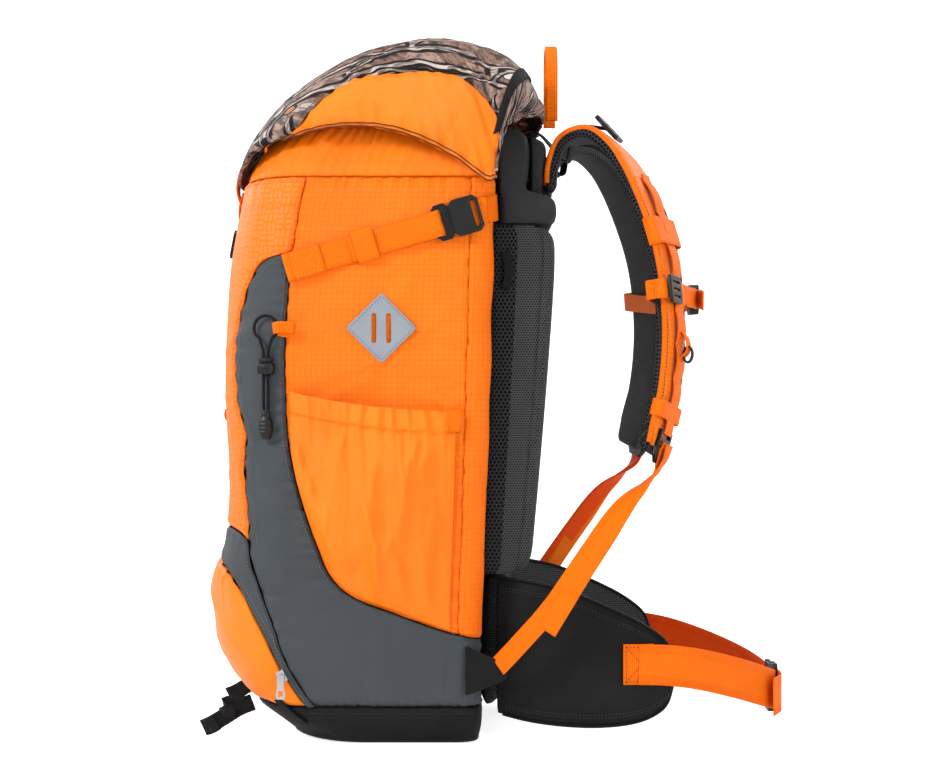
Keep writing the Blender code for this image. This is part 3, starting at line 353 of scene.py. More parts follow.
def mouldedMaterial(name, colour, roughness, metallic=0.0, grain=1400.0, bump=0.00012):
    made, tree, shader, _, place = startMaterial(name, roughness, metallic)
    tone = useGroup(tree, "tone", {"Place": place, "Size": 60.0})
    light = [min(1.0, c * 1.5 + 0.003) for c in colour]
    tree.links.new(mixColour(tree, calc(tree, "MULTIPLY", tone["Tone"], 0.5), colour, light), shader.inputs["Base Color"])
    rough = smoothStep(tree, tone["Tone"], 0.3, 0.7, roughness * 0.8, min(1.0, roughness * 1.25))
    tree.links.new(rough, shader.inputs["Roughness"])
    fine = put(tree, "TexNoise", {"Vector": place, "Scale": grain, "Detail": 2.0})
    bumpInto(tree, shader, fine.outputs["Fac"], bump)
    return made


woodland = {
    "warp": (24.0, 0.016),  # noise scale, reach in metres
    "grounds": [
        (0.00, (0.014, 0.010, 0.009)), (0.37, (0.075, 0.050, 0.044)), (0.42, (0.25, 0.145, 0.110)),
        (0.50, (0.38, 0.245, 0.195)), (0.59, (0.17, 0.145, 0.135)), (0.63, (0.45, 0.36, 0.31)),
    ],
    "twigs": [  # turn, scale, stretch, half width
        (0.45, 13.0, 0.30, 0.055), (-0.75, 17.0, 0.32, 0.050), (1.30, 21.0, 0.22, 0.070), (2.30, 27.0, 0.30, 0.045),
    ],
    "outline": (0.010, 0.008, 0.007),
}


def camoMaterial(name):
    # printed woodland litter: bark grounds, leaves, and forked twigs with dark outlines
    made, tree, shader, cut, _ = startMaterial(name, 0.62, specular=0.12)
    scale, reach = woodland["warp"]
    warp = put(tree, "TexNoise", {"Vector": cut, "Scale": scale, "Detail": 2.0})
    pushed = put(tree, "VectorMath", {0: warp.outputs["Color"], 1: (-0.5, -0.5, -0.5)}, operation="ADD")
    pushed = put(tree, "VectorMath", {0: pushed.outputs[0], "Scale": reach}, operation="SCALE")
    bent = put(tree, "VectorMath", {0: cut, 1: pushed.outputs[0]}, operation="ADD").outputs[0]
    grain = put(tree, "Mapping", {"Vector": bent, "Rotation": (0.0, 0.0, 0.3), "Scale": (0.45, 1.0, 1.0)})
    blotch = put(tree, "TexNoise", {"Vector": grain.outputs[0], "Scale": 34.0, "Detail": 4.0, "Roughness": 0.55})
    ramp = put(tree, "ValToRGB", {"Fac": blotch.outputs["Fac"]})
    ramp.color_ramp.interpolation = "CONSTANT"
    while len(ramp.color_ramp.elements) < len(woodland["grounds"]):
        ramp.color_ramp.elements.new(0.5)
    for element, (at, colour) in zip(ramp.color_ramp.elements, woodland["grounds"]):
        element.position, element.color = at, (*colour, 1.0)
    fibre = put(tree, "TexNoise", {"Vector": grain.outputs[0], "Scale": 190.0, "Detail": 3.0})
    colour = mixColour(tree, smoothStep(tree, fibre.outputs["Fac"], 0.50, 0.56, 0.0, 0.55), ramp.outputs["Color"], (0.04, 0.028, 0.024))
    leaves = put(tree, "TexVoronoi", {"Vector": bent, "Scale": 38.0, "Randomness": 1.0}, feature="F1")
    chosen = put(tree, "SeparateColor", {0: leaves.outputs["Color"]})
    for channel, least, tint in ((0, 0.80, (0.46, 0.17, 0.085)), (1, 0.86, (0.50, 0.40, 0.34)), (2, 0.93, (0.66, 0.62, 0.58))):
        some = calc(tree, "GREATER_THAN", chosen.outputs[channel], least)
        rim = smoothStep(tree, leaves.outputs["Distance"], 0.36, 0.39, 1.0, 0.0)
        leaf = smoothStep(tree, leaves.outputs["Distance"], 0.30, 0.33, 1.0, 0.0)
        colour = mixColour(tree, calc(tree, "MULTIPLY", rim, some), colour, woodland["outline"])
        colour = mixColour(tree, calc(tree, "MULTIPLY", leaf, some), colour, tint)
    for angle, scale, stretch, wide in woodland["twigs"]:
        turned = put(tree, "Mapping", {"Vector": bent, "Rotation": (0.0, 0.0, angle), "Scale": (1.0, stretch, 1.0)})
        twigs = put(tree, "TexVoronoi", {"Vector": turned.outputs[0], "Scale": scale}, feature="DISTANCE_TO_EDGE")
        patch = put(tree, "TexNoise", {"Vector": turned.outputs[0], "Scale": scale * 0.8, "Detail": 0.0})
        there = smoothStep(tree, patch.outputs["Fac"], 0.50, 0.53)
        outline = smoothStep(tree, twigs.outputs["Distance"], wide, wide * 1.25, 1.0, 0.0)
        core = smoothStep(tree, twigs.outputs["Distance"], wide * 0.34, wide * 0.46, 1.0, 0.0)
        streak = put(tree, "TexNoise", {"Vector": turned.outputs[0], "Scale": 240.0, "Detail": 2.0})
        wood = mixColour(tree, smoothStep(tree, streak.outputs["Fac"], 0.42, 0.60), (0.20, 0.15, 0.135), (0.58, 0.49, 0.44))
        colour = mixColour(tree, calc(tree, "MULTIPLY", outline, there), colour, woodland["outline"])
        colour = mixColour(tree, calc(tree, "MULTIPLY", core, there), colour, wood)
    tree.links.new(colour, shader.inputs["Base Color"])
    woven = useGroup(tree, "woven", {"Cut": cut, "Thread": 0.0011, "Square": 1.0})
    bumpInto(tree, shader, calc(tree, "ADD", woven["Height"], calc(tree, "MULTIPLY", woven["Crinkle"], 2.5)), 0.0004)
    return made


def printedMaterial(name, look):
    # hi-vis print: short bars laid like a basket weave
    made, tree, shader, cut, place = startMaterial(name, 0.5, specular=0.15)
    cell, bar = look["cell"], look["bar"]
    split = put(tree, "SeparateXYZ", {0: cut})
    cells = [calc(tree, "FLOOR", calc(tree, "DIVIDE", split.outputs[k], cell)) for k in (0, 1)]
    odd = calc(tree, "MODULO", calc(tree, "ABSOLUTE", calc(tree, "ADD", cells[0], cells[1])), 2.0)
    masks = []
    for k in (0, 1):
        along = calc(tree, "PINGPONG", calc(tree, "ADD", split.outputs[1 - k], cell * 0.5), cell * 0.5)
        ends = smoothStep(tree, along, cell * 0.06, cell * 0.10)
        across = calc(tree, "PINGPONG", split.outputs[k], bar * 0.5)
        masks.append(calc(tree, "MULTIPLY", ends, smoothStep(tree, across, bar * 0.14, bar * 0.22)))
    flipped = calc(tree, "SUBTRACT", 1.0, odd)
    mask = calc(tree, "ADD", calc(tree, "MULTIPLY", masks[0], odd), calc(tree, "MULTIPLY", masks[1], flipped))
    tone = useGroup(tree, "tone", {"Place": place, "Size": 9.0})
    ground = mixColour(tree, tone["Tone"], look["colour"], look["second"])
    tree.links.new(mixColour(tree, calc(tree, "MULTIPLY", mask, look["strength"]), ground, look["print"]), shader.inputs["Base Color"])
    woven = useGroup(tree, "woven", {"Cut": cut, "Thread": 0.001, "Square": 1.0})
    height = calc(tree, "ADD", calc(tree, "MULTIPLY", mask, 0.8), calc(tree, "MULTIPLY", woven["Crinkle"], 2.0))
    bumpInto(tree, shader, height, 0.0004)
    return made


orange = (1.0, 0.175, 0.0)
slate, black = (0.052, 0.060, 0.066), (0.0055, 0.0055, 0.006)


def threadMaterial(name, colour):
    return mouldedMaterial(name, colour, 0.6)


finishes = {
    "ripstop": clothMaterial("orangeRipstop", dict(
        colour=orange, second=(1.0, 0.20, 0.0), line=(0.86, 0.11, 0.0), crownHighlight=(1.0, 0.24, 0.002), roughness=0.42,
        thread=0.0009, square=0.0052, lineShade=0.55, crinkle=2.0, gloss=0.22,
    )),
    "taffeta": clothMaterial("orangeTaffeta", dict(
        colour=(1.0, 0.19, 0.0), second=(1.0, 0.215, 0.0), crownHighlight=(1.0, 0.24, 0.002), roughness=0.40, thread=0.0009, crinkle=3.4, gloss=0.30,
    )),
    "hiVis": printedMaterial("orangeHiVis", dict(
        colour=orange, second=(0.97, 0.15, 0.0), cell=0.0150, bar=0.0050, print=(1.0, 0.36, 0.20), strength=0.15,
    )),
    "slate": clothMaterial("slateNylon", dict(
        colour=slate, second=(0.060, 0.068, 0.075), crownHighlight=(0.085, 0.094, 0.102), roughness=0.5, thread=0.0011, crinkle=1.6,
    )),
    "canvas": clothMaterial("charcoalCanvas", dict(
        colour=(0.022, 0.0225, 0.024), second=(0.030, 0.031, 0.033), crownHighlight=(0.065, 0.066, 0.070), roughness=0.8,
        thread=0.0022, weaveShade=0.9, bump=0.0009,
    )),
    "black": clothMaterial("blackNylon", dict(
        colour=black, second=(0.009, 0.009, 0.010), crownHighlight=(0.022, 0.022, 0.024), roughness=0.6, thread=0.0015, weaveShade=0.5, crinkle=1.4,
    )),
    "camo": camoMaterial("woodlandPrint"),
    "padMesh": meshMaterial("finePadMesh", dict(
        colour=(0.058, 0.059, 0.062), second=(0.075, 0.077, 0.080), under=(0.006, 0.006, 0.007), pitch=0.0026, hole=0.24, roughness=0.75,
    )),
    "airMesh": meshMaterial("openAirMesh", dict(
        colour=(0.036, 0.037, 0.039), second=(0.050, 0.051, 0.054), under=(0.002, 0.002, 0.0025), pitch=0.0040, hole=0.34, roughness=0.7, bump=0.0012,
    )),
    "webbing": webMaterial("orangeWebbing", dict(
        colour=(1.0, 0.195, 0.002), second=(0.92, 0.120, 0.0), third=(1.0, 0.22, 0.002), roughness=0.55, rib=0.0018,
    )),
    # a darker, redder copy of the orange webbing for the left side's straps: painted shade
    "shadedWebbing": webMaterial("deepOrangeWebbing", dict(
        colour=(0.98, 0.085, 0.0), second=(0.72, 0.045, 0.0), third=(0.98, 0.11, 0.0), roughness=0.55, rib=0.0018,
    )),
    "blackWeb": webMaterial("blackWebbing", dict(
        colour=(0.014, 0.014, 0.015), second=(0.004, 0.004, 0.0045), third=(0.018, 0.018, 0.019), roughness=0.6, rib=0.0018,
    )),
    "binding": webMaterial("blackBinding", dict(
        colour=(0.016, 0.016, 0.017), second=(0.006, 0.006, 0.0065), third=(0.016, 0.016, 0.017), roughness=0.65, rib=0.0014,
    )),
    "plastic": mouldedMaterial("blackAcetal", (0.0035, 0.0035, 0.004), 0.34),
    "reflective": mouldedMaterial("silverReflective", (0.235, 0.255, 0.285), 0.45, 0.10, 900.0, 0.00006),
    "metal": mouldedMaterial("platedZinc", (0.42, 0.42, 0.44), 0.30, 1.0),
    "alloy": mouldedMaterial("millAlloy", (0.60, 0.61, 0.63), 0.38, 1.0, 500.0),
    "sheetPlastic": mouldedMaterial("naturalSheet", (0.50, 0.51, 0.52), 0.45),
    "cord": webMaterial("braidedCord", dict(
        colour=(0.016, 0.016, 0.018), second=(0.004, 0.004, 0.005), third=(0.02, 0.02, 0.022), roughness=0.6, rib=0.0018, half=0.01,
    )),
    "orangeThread": threadMaterial("orangeThread", (1.0, 0.25, 0.01)),
    # this dark thread also colours the hem cords, which are painted seam shadow
    "darkThread": threadMaterial("darkThread", (0.055, 0.020, 0.008)),
    "blackThread": threadMaterial("blackThread", (0.022, 0.022, 0.024)),
    "greyThread": threadMaterial("greyThread", (0.115, 0.12, 0.125)),
}
print("materials are mixed:", len(finishes))

# ---- cloth and mesh helpers


def follow(line, at):
    # smooth curve through (place, value) pairs, read at many places
    xs, ys = np.array(line, float).T
    at = np.clip(np.asarray(at, float), xs[0], xs[-1])
    i = np.clip(np.searchsorted(xs, at) - 1, 0, len(xs) - 2)
    before, after = np.maximum(np.arange(len(xs)) - 1, 0), np.minimum(np.arange(len(xs)) + 1, len(xs) - 1)
    slopes = (ys[after] - ys[before]) / (xs[after] - xs[before])
    span = xs[i + 1] - xs[i]
    f = (at - xs[i]) / span
    level = ys[i] * (1 + 2 * f) * (1 - f) ** 2 + ys[i + 1] * f * f * (3 - 2 * f)
    return level + slopes[i] * span * f * (1 - f) ** 2 - slopes[i + 1] * span * f * f * (1 - f)


def smoothPath(points, count, scale=1.0):
    points = np.array(points, float)
    gaps = np.linalg.norm(np.diff(points * np.asarray(scale), axis=0), axis=1)
    at = np.concatenate([[0.0], np.cumsum(gaps)])
    where = np.linspace(0, at[-1], count)
    return np.stack([follow(list(zip(at, points[:, k])), where) for k in range(points.shape[1])], axis=1)


def resample(field, count):
    field = np.asarray(field, float)
    at = np.linspace(0, len(field) - 1, count)
    return np.stack([np.interp(at, np.arange(len(field)), field[:, k]) for k in range(field.shape[1])], axis=1)


def unit(vectors):
    return vectors / np.maximum(np.linalg.norm(vectors, axis=-1, keepdims=True), 1e-12)


bag = {
    "halfWidth": 0.152,
    "backCorner": 0.020,
    "frontCorner": (0.085, 0.064),  # across, fore and aft
    "turns": (0.20, 0.30, 0.60, 0.85),  # rear corner, side, front corner, front
    "bootTop": 0.036,
    "topSeam": 0.530,
    "collarTop": 0.592,
    "front": [
        (0.000, -0.108), (0.015, -0.124), (0.036, -0.149), (0.071, -0.172), (0.106, -0.184), (0.135, -0.188),
        (0.160, -0.185), (0.190, -0.177), (0.240, -0.174), (0.300, -0.176), (0.360, -0.178), (0.420, -0.175),
        (0.480, -0.168), (0.530, -0.157), (0.560, -0.142), (0.592, -0.118),
    ],
    "back": [(0.000, 0.065), (0.036, 0.067), (0.100, 0.068), (0.250, 0.073), (0.500, 0.080), (0.560, 0.079), (0.592, 0.072)],
    "width": [
        (0.000, 0.84), (0.036, 0.91), (0.100, 0.95), (0.200, 0.98), (0.300, 1.00), (0.420, 1.00),
        (0.500, 0.965), (0.530, 0.935), (0.560, 0.86), (0.592, 0.74),
    ],
    "gussetRear": [
        (0.20, 0.098), (0.30, 0.103), (0.397, 0.121), (0.489, 0.144), (0.547, 0.186), (0.585, 0.238), (0.60, 0.285),
        (0.601, 0.330), (0.601, 0.390), (0.601, 0.457),
    ],
    "gussetFront": [
        (0.605, 0.036), (0.608, 0.080), (0.612, 0.116), (0.640, 0.150), (0.675, 0.171), (0.700, 0.190), (0.724, 0.256),
        (0.712, 0.290), (0.738, 0.318), (0.748, 0.350), (0.738, 0.388), (0.711, 0.426), (0.675, 0.450), (0.620, 0.458),
    ],
    "zip": [
        (0.626, 0.036), (0.626, 0.060), (0.636, 0.098), (0.652, 0.120), (0.680, 0.140), (0.720, 0.155), (0.780, 0.166),
        (0.850, 0.172), (1.000, 0.174),
    ],
    "bandTop": [
        (0.6065, 0.036), (0.6095, 0.080), (0.6135, 0.116), (0.6412, 0.1488), (0.6765, 0.1702), (0.7012, 0.1895), (0.725, 0.196),
        (0.780, 0.2005), (0.850, 0.201), (1.000, 0.201),
    ],
}


def halfWidth(z):
    return bag["halfWidth"] * follow(bag["width"], z)


def backY(z):
    return follow(bag["back"], z)


def frontY(z):
    return follow(bag["front"], z)


def bagPoint(t, z, out=0.0):
    # t runs round the bag: 0 middle of the back, 0.3 to 0.6 the side, 1 middle of the front, on to 2
    t, z, out = np.broadcast_arrays(np.asarray(t, float), np.asarray(z, float), np.asarray(out, float))
    side = np.where((t > 1) | (t < 0), -1.0, 1.0)
    t = np.where(t > 1, 2 - t, np.abs(t))
    rear, flank, corner, front = bag["turns"]
    w, yb, yf, r = halfWidth(z), backY(z), frontY(z), bag["backCorner"]
    rx, ry = bag["frontCorner"]
    cornerY = yf + ry
    a = (t - rear) / (flank - rear) * math.pi / 2
    b = (t - corner) / (front - corner) * math.pi / 2
    f = (t - flank) / (corner - flank)
    where = [t <= rear, t <= flank, t <= corner, t <= front]
    nx = np.select(where, [0 * t, np.sin(a), 1 + 0 * t, np.cos(b)], 0 * t)
    ny = np.select(where, [1 + 0 * t, np.cos(a), 0 * t, -np.sin(b)], -1 + 0 * t)
    x = np.select(where, [(w - r) * t / rear, w - r + r * np.sin(a), w, w - rx + rx * np.cos(b)], (w - rx) * (1 - t) / (1 - front))
    y = np.select(where, [yb, yb - r + r * np.cos(a), (yb - r) * (1 - f) + cornerY * f, cornerY - ry * np.sin(b)], yf)
    return np.stack([side * (x + nx * out), y + ny * out, z], axis=-1)


def turnAt(y, z):
    # how far round the bag the side or the front corner has this y
    rear, flank, corner, front = bag["turns"]
    end, cornerY = backY(z) - bag["backCorner"], frontY(z) + bag["frontCorner"][1]
    if y >= cornerY:
        return float(flank + (corner - flank) * (end - y) / (end - cornerY))
    a = math.asin(min(1.0, (cornerY - y) / bag["frontCorner"][1]))
    return float(corner + (front - corner) * a / (math.pi / 2))


turnTable = np.linspace(-1, 2, 901)
roundLengths = np.concatenate([[0.0], np.cumsum(np.linalg.norm(np.diff(bagPoint(turnTable, 0.3), axis=0), axis=1))])


def roundLength(t):
    return np.interp(t, turnTable, roundLengths) - np.interp(1.0, turnTable, roundLengths)


def rolling(u, v, seed, size, count=7):
    # soft uneven swell of cloth, about -1 to 1
    rng = np.random.default_rng(seed)
    total = np.zeros_like(u)
    for _ in range(count):
        a, phase, scale = rng.uniform(0, math.tau), rng.uniform(0, math.tau), rng.uniform(0.6, 1.7)
        total += np.sin((u * math.cos(a) + v * math.sin(a)) * math.tau / (size * scale) + phase)
    return total / math.sqrt(count)


def creased(u, v, seed, look):
    # long narrow folds at about one angle, each a ridge or a furrow
    rng = np.random.default_rng(seed)
    total = np.zeros_like(u)
    for _ in range(look["count"]):
        cu, cv = rng.uniform(u.min(), u.max()), rng.uniform(v.min(), v.max())
        a = math.radians(rng.normal(look["angle"], look["spread"]))
        long, wide = rng.uniform(*look["length"]), rng.uniform(*look["width"])
        along = (u - cu) * math.cos(a) + (v - cv) * math.sin(a)
        off = (v - cv) * math.cos(a) - (u - cu) * math.sin(a) + rng.uniform(-1, 1) * along**2 / long * 0.25
        total += (1.0 if rng.random() < 0.6 else -0.8) * np.exp(-((along / long) ** 2)) / (1 + (off / wide) ** 2)
    return total * look["rise"]


def gridNormals(points, wrap=False):
    if wrap:
        ring = np.concatenate([points[:, -1:], points, points[:, :1]], axis=1)
        du, dv = np.gradient(ring, axis=1)[:, 1:-1], np.gradient(points, axis=0)
    else:
        du, dv = np.gradient(points, axis=1), np.gradient(points, axis=0)
    return unit(np.cross(du, dv))


def makeMesh(name, points, faces, uvs, finish, smooth=True):
    mesh = bpy.data.meshes.new(name)
    mesh.from_pydata(np.asarray(points).reshape(-1, 3).tolist(), [], np.asarray(faces).tolist() if isinstance(faces, np.ndarray) else faces)
    if uvs is not None:
        layer = mesh.uv_layers.new(name="cut")
        layer.data.foreach_set("uv", np.asarray(uvs, np.float32).reshape(-1))
    if smooth:
        mesh.shade_smooth()
    mesh.materials.append(finishes[finish])
    obj = bpy.data.objects.new(name, mesh)
    scene.collection.objects.link(obj)
    return obj


def gridPiece(name, points, uv, finish, wrap=False, outwards=None, thick=0.0):
    # a sheet through rows of points; outwards is a direction field that its faces look along
    n, m = points.shape[:2]
    i, j = np.meshgrid(np.arange(n - 1), np.arange(m if wrap else m - 1), indexing="ij")
    k = (j + 1) % m
    corners = np.stack([i * m + j, i * m + k, (i + 1) * m + k, (i + 1) * m + j], axis=-1)
    uvAt = np.stack([uv[i, j], uv[i, j + 1], uv[i + 1, j + 1], uv[i + 1, j]], axis=-2)
    flat = points.reshape(-1, 3)
    if outwards is not None:
        a, b, c = flat[corners[..., 0]], flat[corners[..., 1]], flat[corners[..., 3]]
        facing = np.einsum("ijk,ijk->", np.cross(b - a, c - a), np.broadcast_to(outwards, points.shape)[:-1, : corners.shape[1]])
        if facing < 0:
            corners, uvAt = corners[..., ::-1], uvAt[..., ::-1, :]
    obj = makeMesh(name, flat, corners.reshape(-1, 4), uvAt.reshape(-1, 2), finish)
    if thick:
        wall = obj.modifiers.new("wall", "SOLIDIFY")
        wall.thickness, wall.offset = thick, -1
    return obj


def settle(obj, body, *nodes, slot=None):
    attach(obj, body)
    if nodes:
        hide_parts(*nodes)
    return obj


def edgeDistances(points):
    across = np.linalg.norm(np.diff(points, axis=1), axis=2)
    upwards = np.linalg.norm(np.diff(points, axis=0), axis=2)
    left = np.concatenate([np.zeros((points.shape[0], 1)), np.cumsum(across, axis=1)], axis=1)
    low = np.concatenate([np.zeros((1, points.shape[1])), np.cumsum(upwards, axis=0)], axis=0)
    return {"left": left, "right": left[:, -1:] - left, "low": low, "top": low[-1:] - low}


def bagPanel(name, turns, heights, look, side=1.0, nodes=(), slot=None, rise=0.0):
    # one sewn panel of the bag: it swells, creases, puckers beside its seams and dives into them
    flat = bagPoint(turns, heights)
    u, v = roundLength(turns), np.asarray(heights)
    edges = edgeDistances(flat)
    seed = look["seed"] + (100 if side < 0 else 0)
    lift = rise + look.get("proud", 0.0) + look.get("swell", 0.0) * rolling(u, v, seed, look.get("swellSize", 0.09))
    for k, crease in enumerate(look.get("creases", ())):
        lift = lift + creased(u, v, seed + 7 * k + 1, crease)
    if "belly" in look:
        height, reach = look["belly"]
        near = np.minimum.reduce([edges[e] for e in look["tuck"]])
        lift = lift + height * (1 - np.exp(-near / reach))
    for edge, high, pitch, reach in look.get("puckers", ()):
        along = u if edge in ("low", "top") else v
        wobble = rolling(u, v, seed + 31, 0.05) * 1.4
        lift = lift + high * np.exp(-edges[edge] / reach) * np.sin(along * math.tau / pitch + wobble)
    for edge, deep in look["tuck"].items():
        lift = lift - deep * np.exp(-((edges[edge] / 0.0022) ** 2))
    points = bagPoint(turns, heights, lift)
    outer = bagPoint(turns, heights, lift + 0.01) - points
    if side < 0:
        points, outer = points * (-1, 1, 1), outer * (-1, 1, 1)
    obj = gridPiece(name, points, np.stack([u, v], axis=-1), look["finish"], outwards=outer, thick=look["thick"])
    settle(obj, "pack", *nodes, slot=slot)
    normals = gridNormals(points)
    if (normals * outer).sum() < 0:
        normals = -normals
    return points, normals


stitching = {}  # (body, thread) to the runs of stitches


def stitch(body, thread, run):
    stitching.setdefault((body, thread), []).append(np.asarray(run, float))


def beside(surface, edge, away, lift=0.0004, start=0.0, end=1.0):
    # a line on a panel, a set distance in from one of its edges
    grid = surface[0] + surface[1] * lift
    if edge in ("low", "top"):
        grid = grid.swapaxes(0, 1)
    if edge in ("right", "top"):
        grid = grid[:, ::-1]
    rows = grid[int(len(grid) * start) : max(2, int(len(grid) * end))]
    lengths = np.linalg.norm(np.diff(rows, axis=1), axis=2).cumsum(axis=1)
    line = []
    for row, length in zip(rows, np.concatenate([np.zeros((len(rows), 1)), lengths], axis=1)):
        line.append([np.interp(away, length, row[:, k]) for k in range(3)])
    return np.array(line)


def frames(path, across, keepOut=False):
    # tangent, across and out at each point of a path; across may be one direction or one for each point
    ahead = unit(np.gradient(path, axis=0))
    across = np.broadcast_to(np.asarray(across, float), path.shape)
    across = unit(across - ahead * (across * ahead).sum(axis=1, keepdims=True))
    return ahead, across, np.cross(across, ahead)


def tubePiece(name, path, across, section, finish, capped=True, uvTurn=False):
    # a closed section (count, 2) or (rows, count, 2) of across and out, carried along a path
    ahead, a, out = frames(path, across)
    section = np.broadcast_to(section, (len(path), *np.asarray(section).shape[-2:]))
    rows = path[:, None] + a[:, None] * section[..., :1] + out[:, None] * section[..., 1:]
    n, m = rows.shape[:2]
    lengths = np.concatenate([[0.0], np.cumsum(np.linalg.norm(np.diff(path, axis=0), axis=1))])
    ring = np.concatenate([section, section[:, :1]], axis=1)
    girth = np.concatenate([np.zeros((n, 1)), np.cumsum(np.linalg.norm(np.diff(ring, axis=1), axis=2), axis=1)], axis=1)
    uv = np.stack([np.repeat(lengths[:, None], m + 1, axis=1), girth if uvTurn else ring[..., 0]], axis=-1)
    i, j = np.meshgrid(np.arange(n - 1), np.arange(m), indexing="ij")
    k = (j + 1) % m
    corners = np.stack([i * m + j, i * m + k, (i + 1) * m + k, (i + 1) * m + j], axis=-1).reshape(-1, 4)
    uvAt = np.stack([uv[i, j], uv[i, j + 1], uv[i + 1, j + 1], uv[i + 1, j]], axis=-2).reshape(-1, 2)
    spin = np.roll(section[0], -1, axis=0)
    area = (section[0][:, 0] * spin[:, 1] - section[0][:, 1] * spin[:, 0]).sum()
    faces, uvAt = corners.tolist(), uvAt.tolist()
    if capped:
        faces += [list(range(m))[::-1], [(n - 1) * m + c for c in range(m)]]
        uvAt += [uv[0, c].tolist() for c in range(m)][::-1] + [uv[-1, c].tolist() for c in range(m)]
    if area > 0:  # the frame is left-handed round the path, so turn every face together
        turned, at = [], 0
        for face in faces:
            turned += uvAt[at : at + len(face)][::-1]
            at += len(face)
        faces, uvAt = [face[::-1] for face in faces], turned
    return makeMesh(name, rows, faces, uvAt, finish)


def flatSection(width, thick, soft=0.0006, bow=0.0):
    # rounded flat webbing section; bow lifts its middle
    a, b = width / 2, thick / 2
    across = np.array([-a, -a + soft, -a * 0.6, -a * 0.2, a * 0.2, a * 0.6, a - soft, a])
    top = np.array([0, b, b, b, b, b, b, 0]) + bow * (1 - (across / a) ** 2)
    low = np.array([0, -b, -b, -b, -b, -b, -b, 0]) + bow * (1 - (across / a) ** 2)
    return np.concatenate([np.stack([across, top], axis=1), np.stack([across, low], axis=1)[-2:0:-1]])


def webbing(name, path, across, width, finish="webbing", thick=0.0018, count=None, raw=False, bow=0.0):
    path = np.asarray(path, float)
    if not raw:
        length = np.linalg.norm(np.diff(path, axis=0), axis=1).sum()
        count = count or max(8, int(length / 0.003))
        if np.asarray(across).ndim > 1:
            across = resample(across, count)
        path = smoothPath(path, count)
    return tubePiece(name, path, across, flatSection(width, thick, bow=bow), finish)


def oval(wide, high, count=12):
    a = np.arange(count) * math.tau / count
    return np.stack([wide * np.cos(a), high * np.sin(a)], axis=1)


def softBox(wide, high, power=3.0, count=20):
    # a squarish oval
    a = np.arange(count) * math.tau / count
    c, s = np.cos(a), np.sin(a)
    return np.stack([wide * np.sign(c) * np.abs(c) ** (2 / power), high * np.sign(s) * np.abs(s) ** (2 / power)], axis=1)


def join(name, pieces):
    # several meshes made one piece
    work = bmesh.new()
    slots = []
    for piece in pieces:
        graph = bpy.context.evaluated_depsgraph_get()
        done = piece.evaluated_get(graph)
        mesh = done.to_mesh()
        before = len(work.faces)
        work.from_mesh(mesh)
        work.faces.ensure_lookup_table()
        if piece.data.materials[0] not in slots:
            slots.append(piece.data.materials[0])
        for face in work.faces[before:]:
            face.material_index = slots.index(piece.data.materials[0])
        done.to_mesh_clear()
    merged = bpy.data.meshes.new(name)
    work.to_mesh(merged)
    work.free()
    for finish in slots:
        merged.materials.append(finish)
    for piece in pieces:
        bpy.data.objects.remove(piece)
    obj = bpy.data.objects.new(name, merged)
    scene.collection.objects.link(obj)
    return obj


# ---- the bag's panels

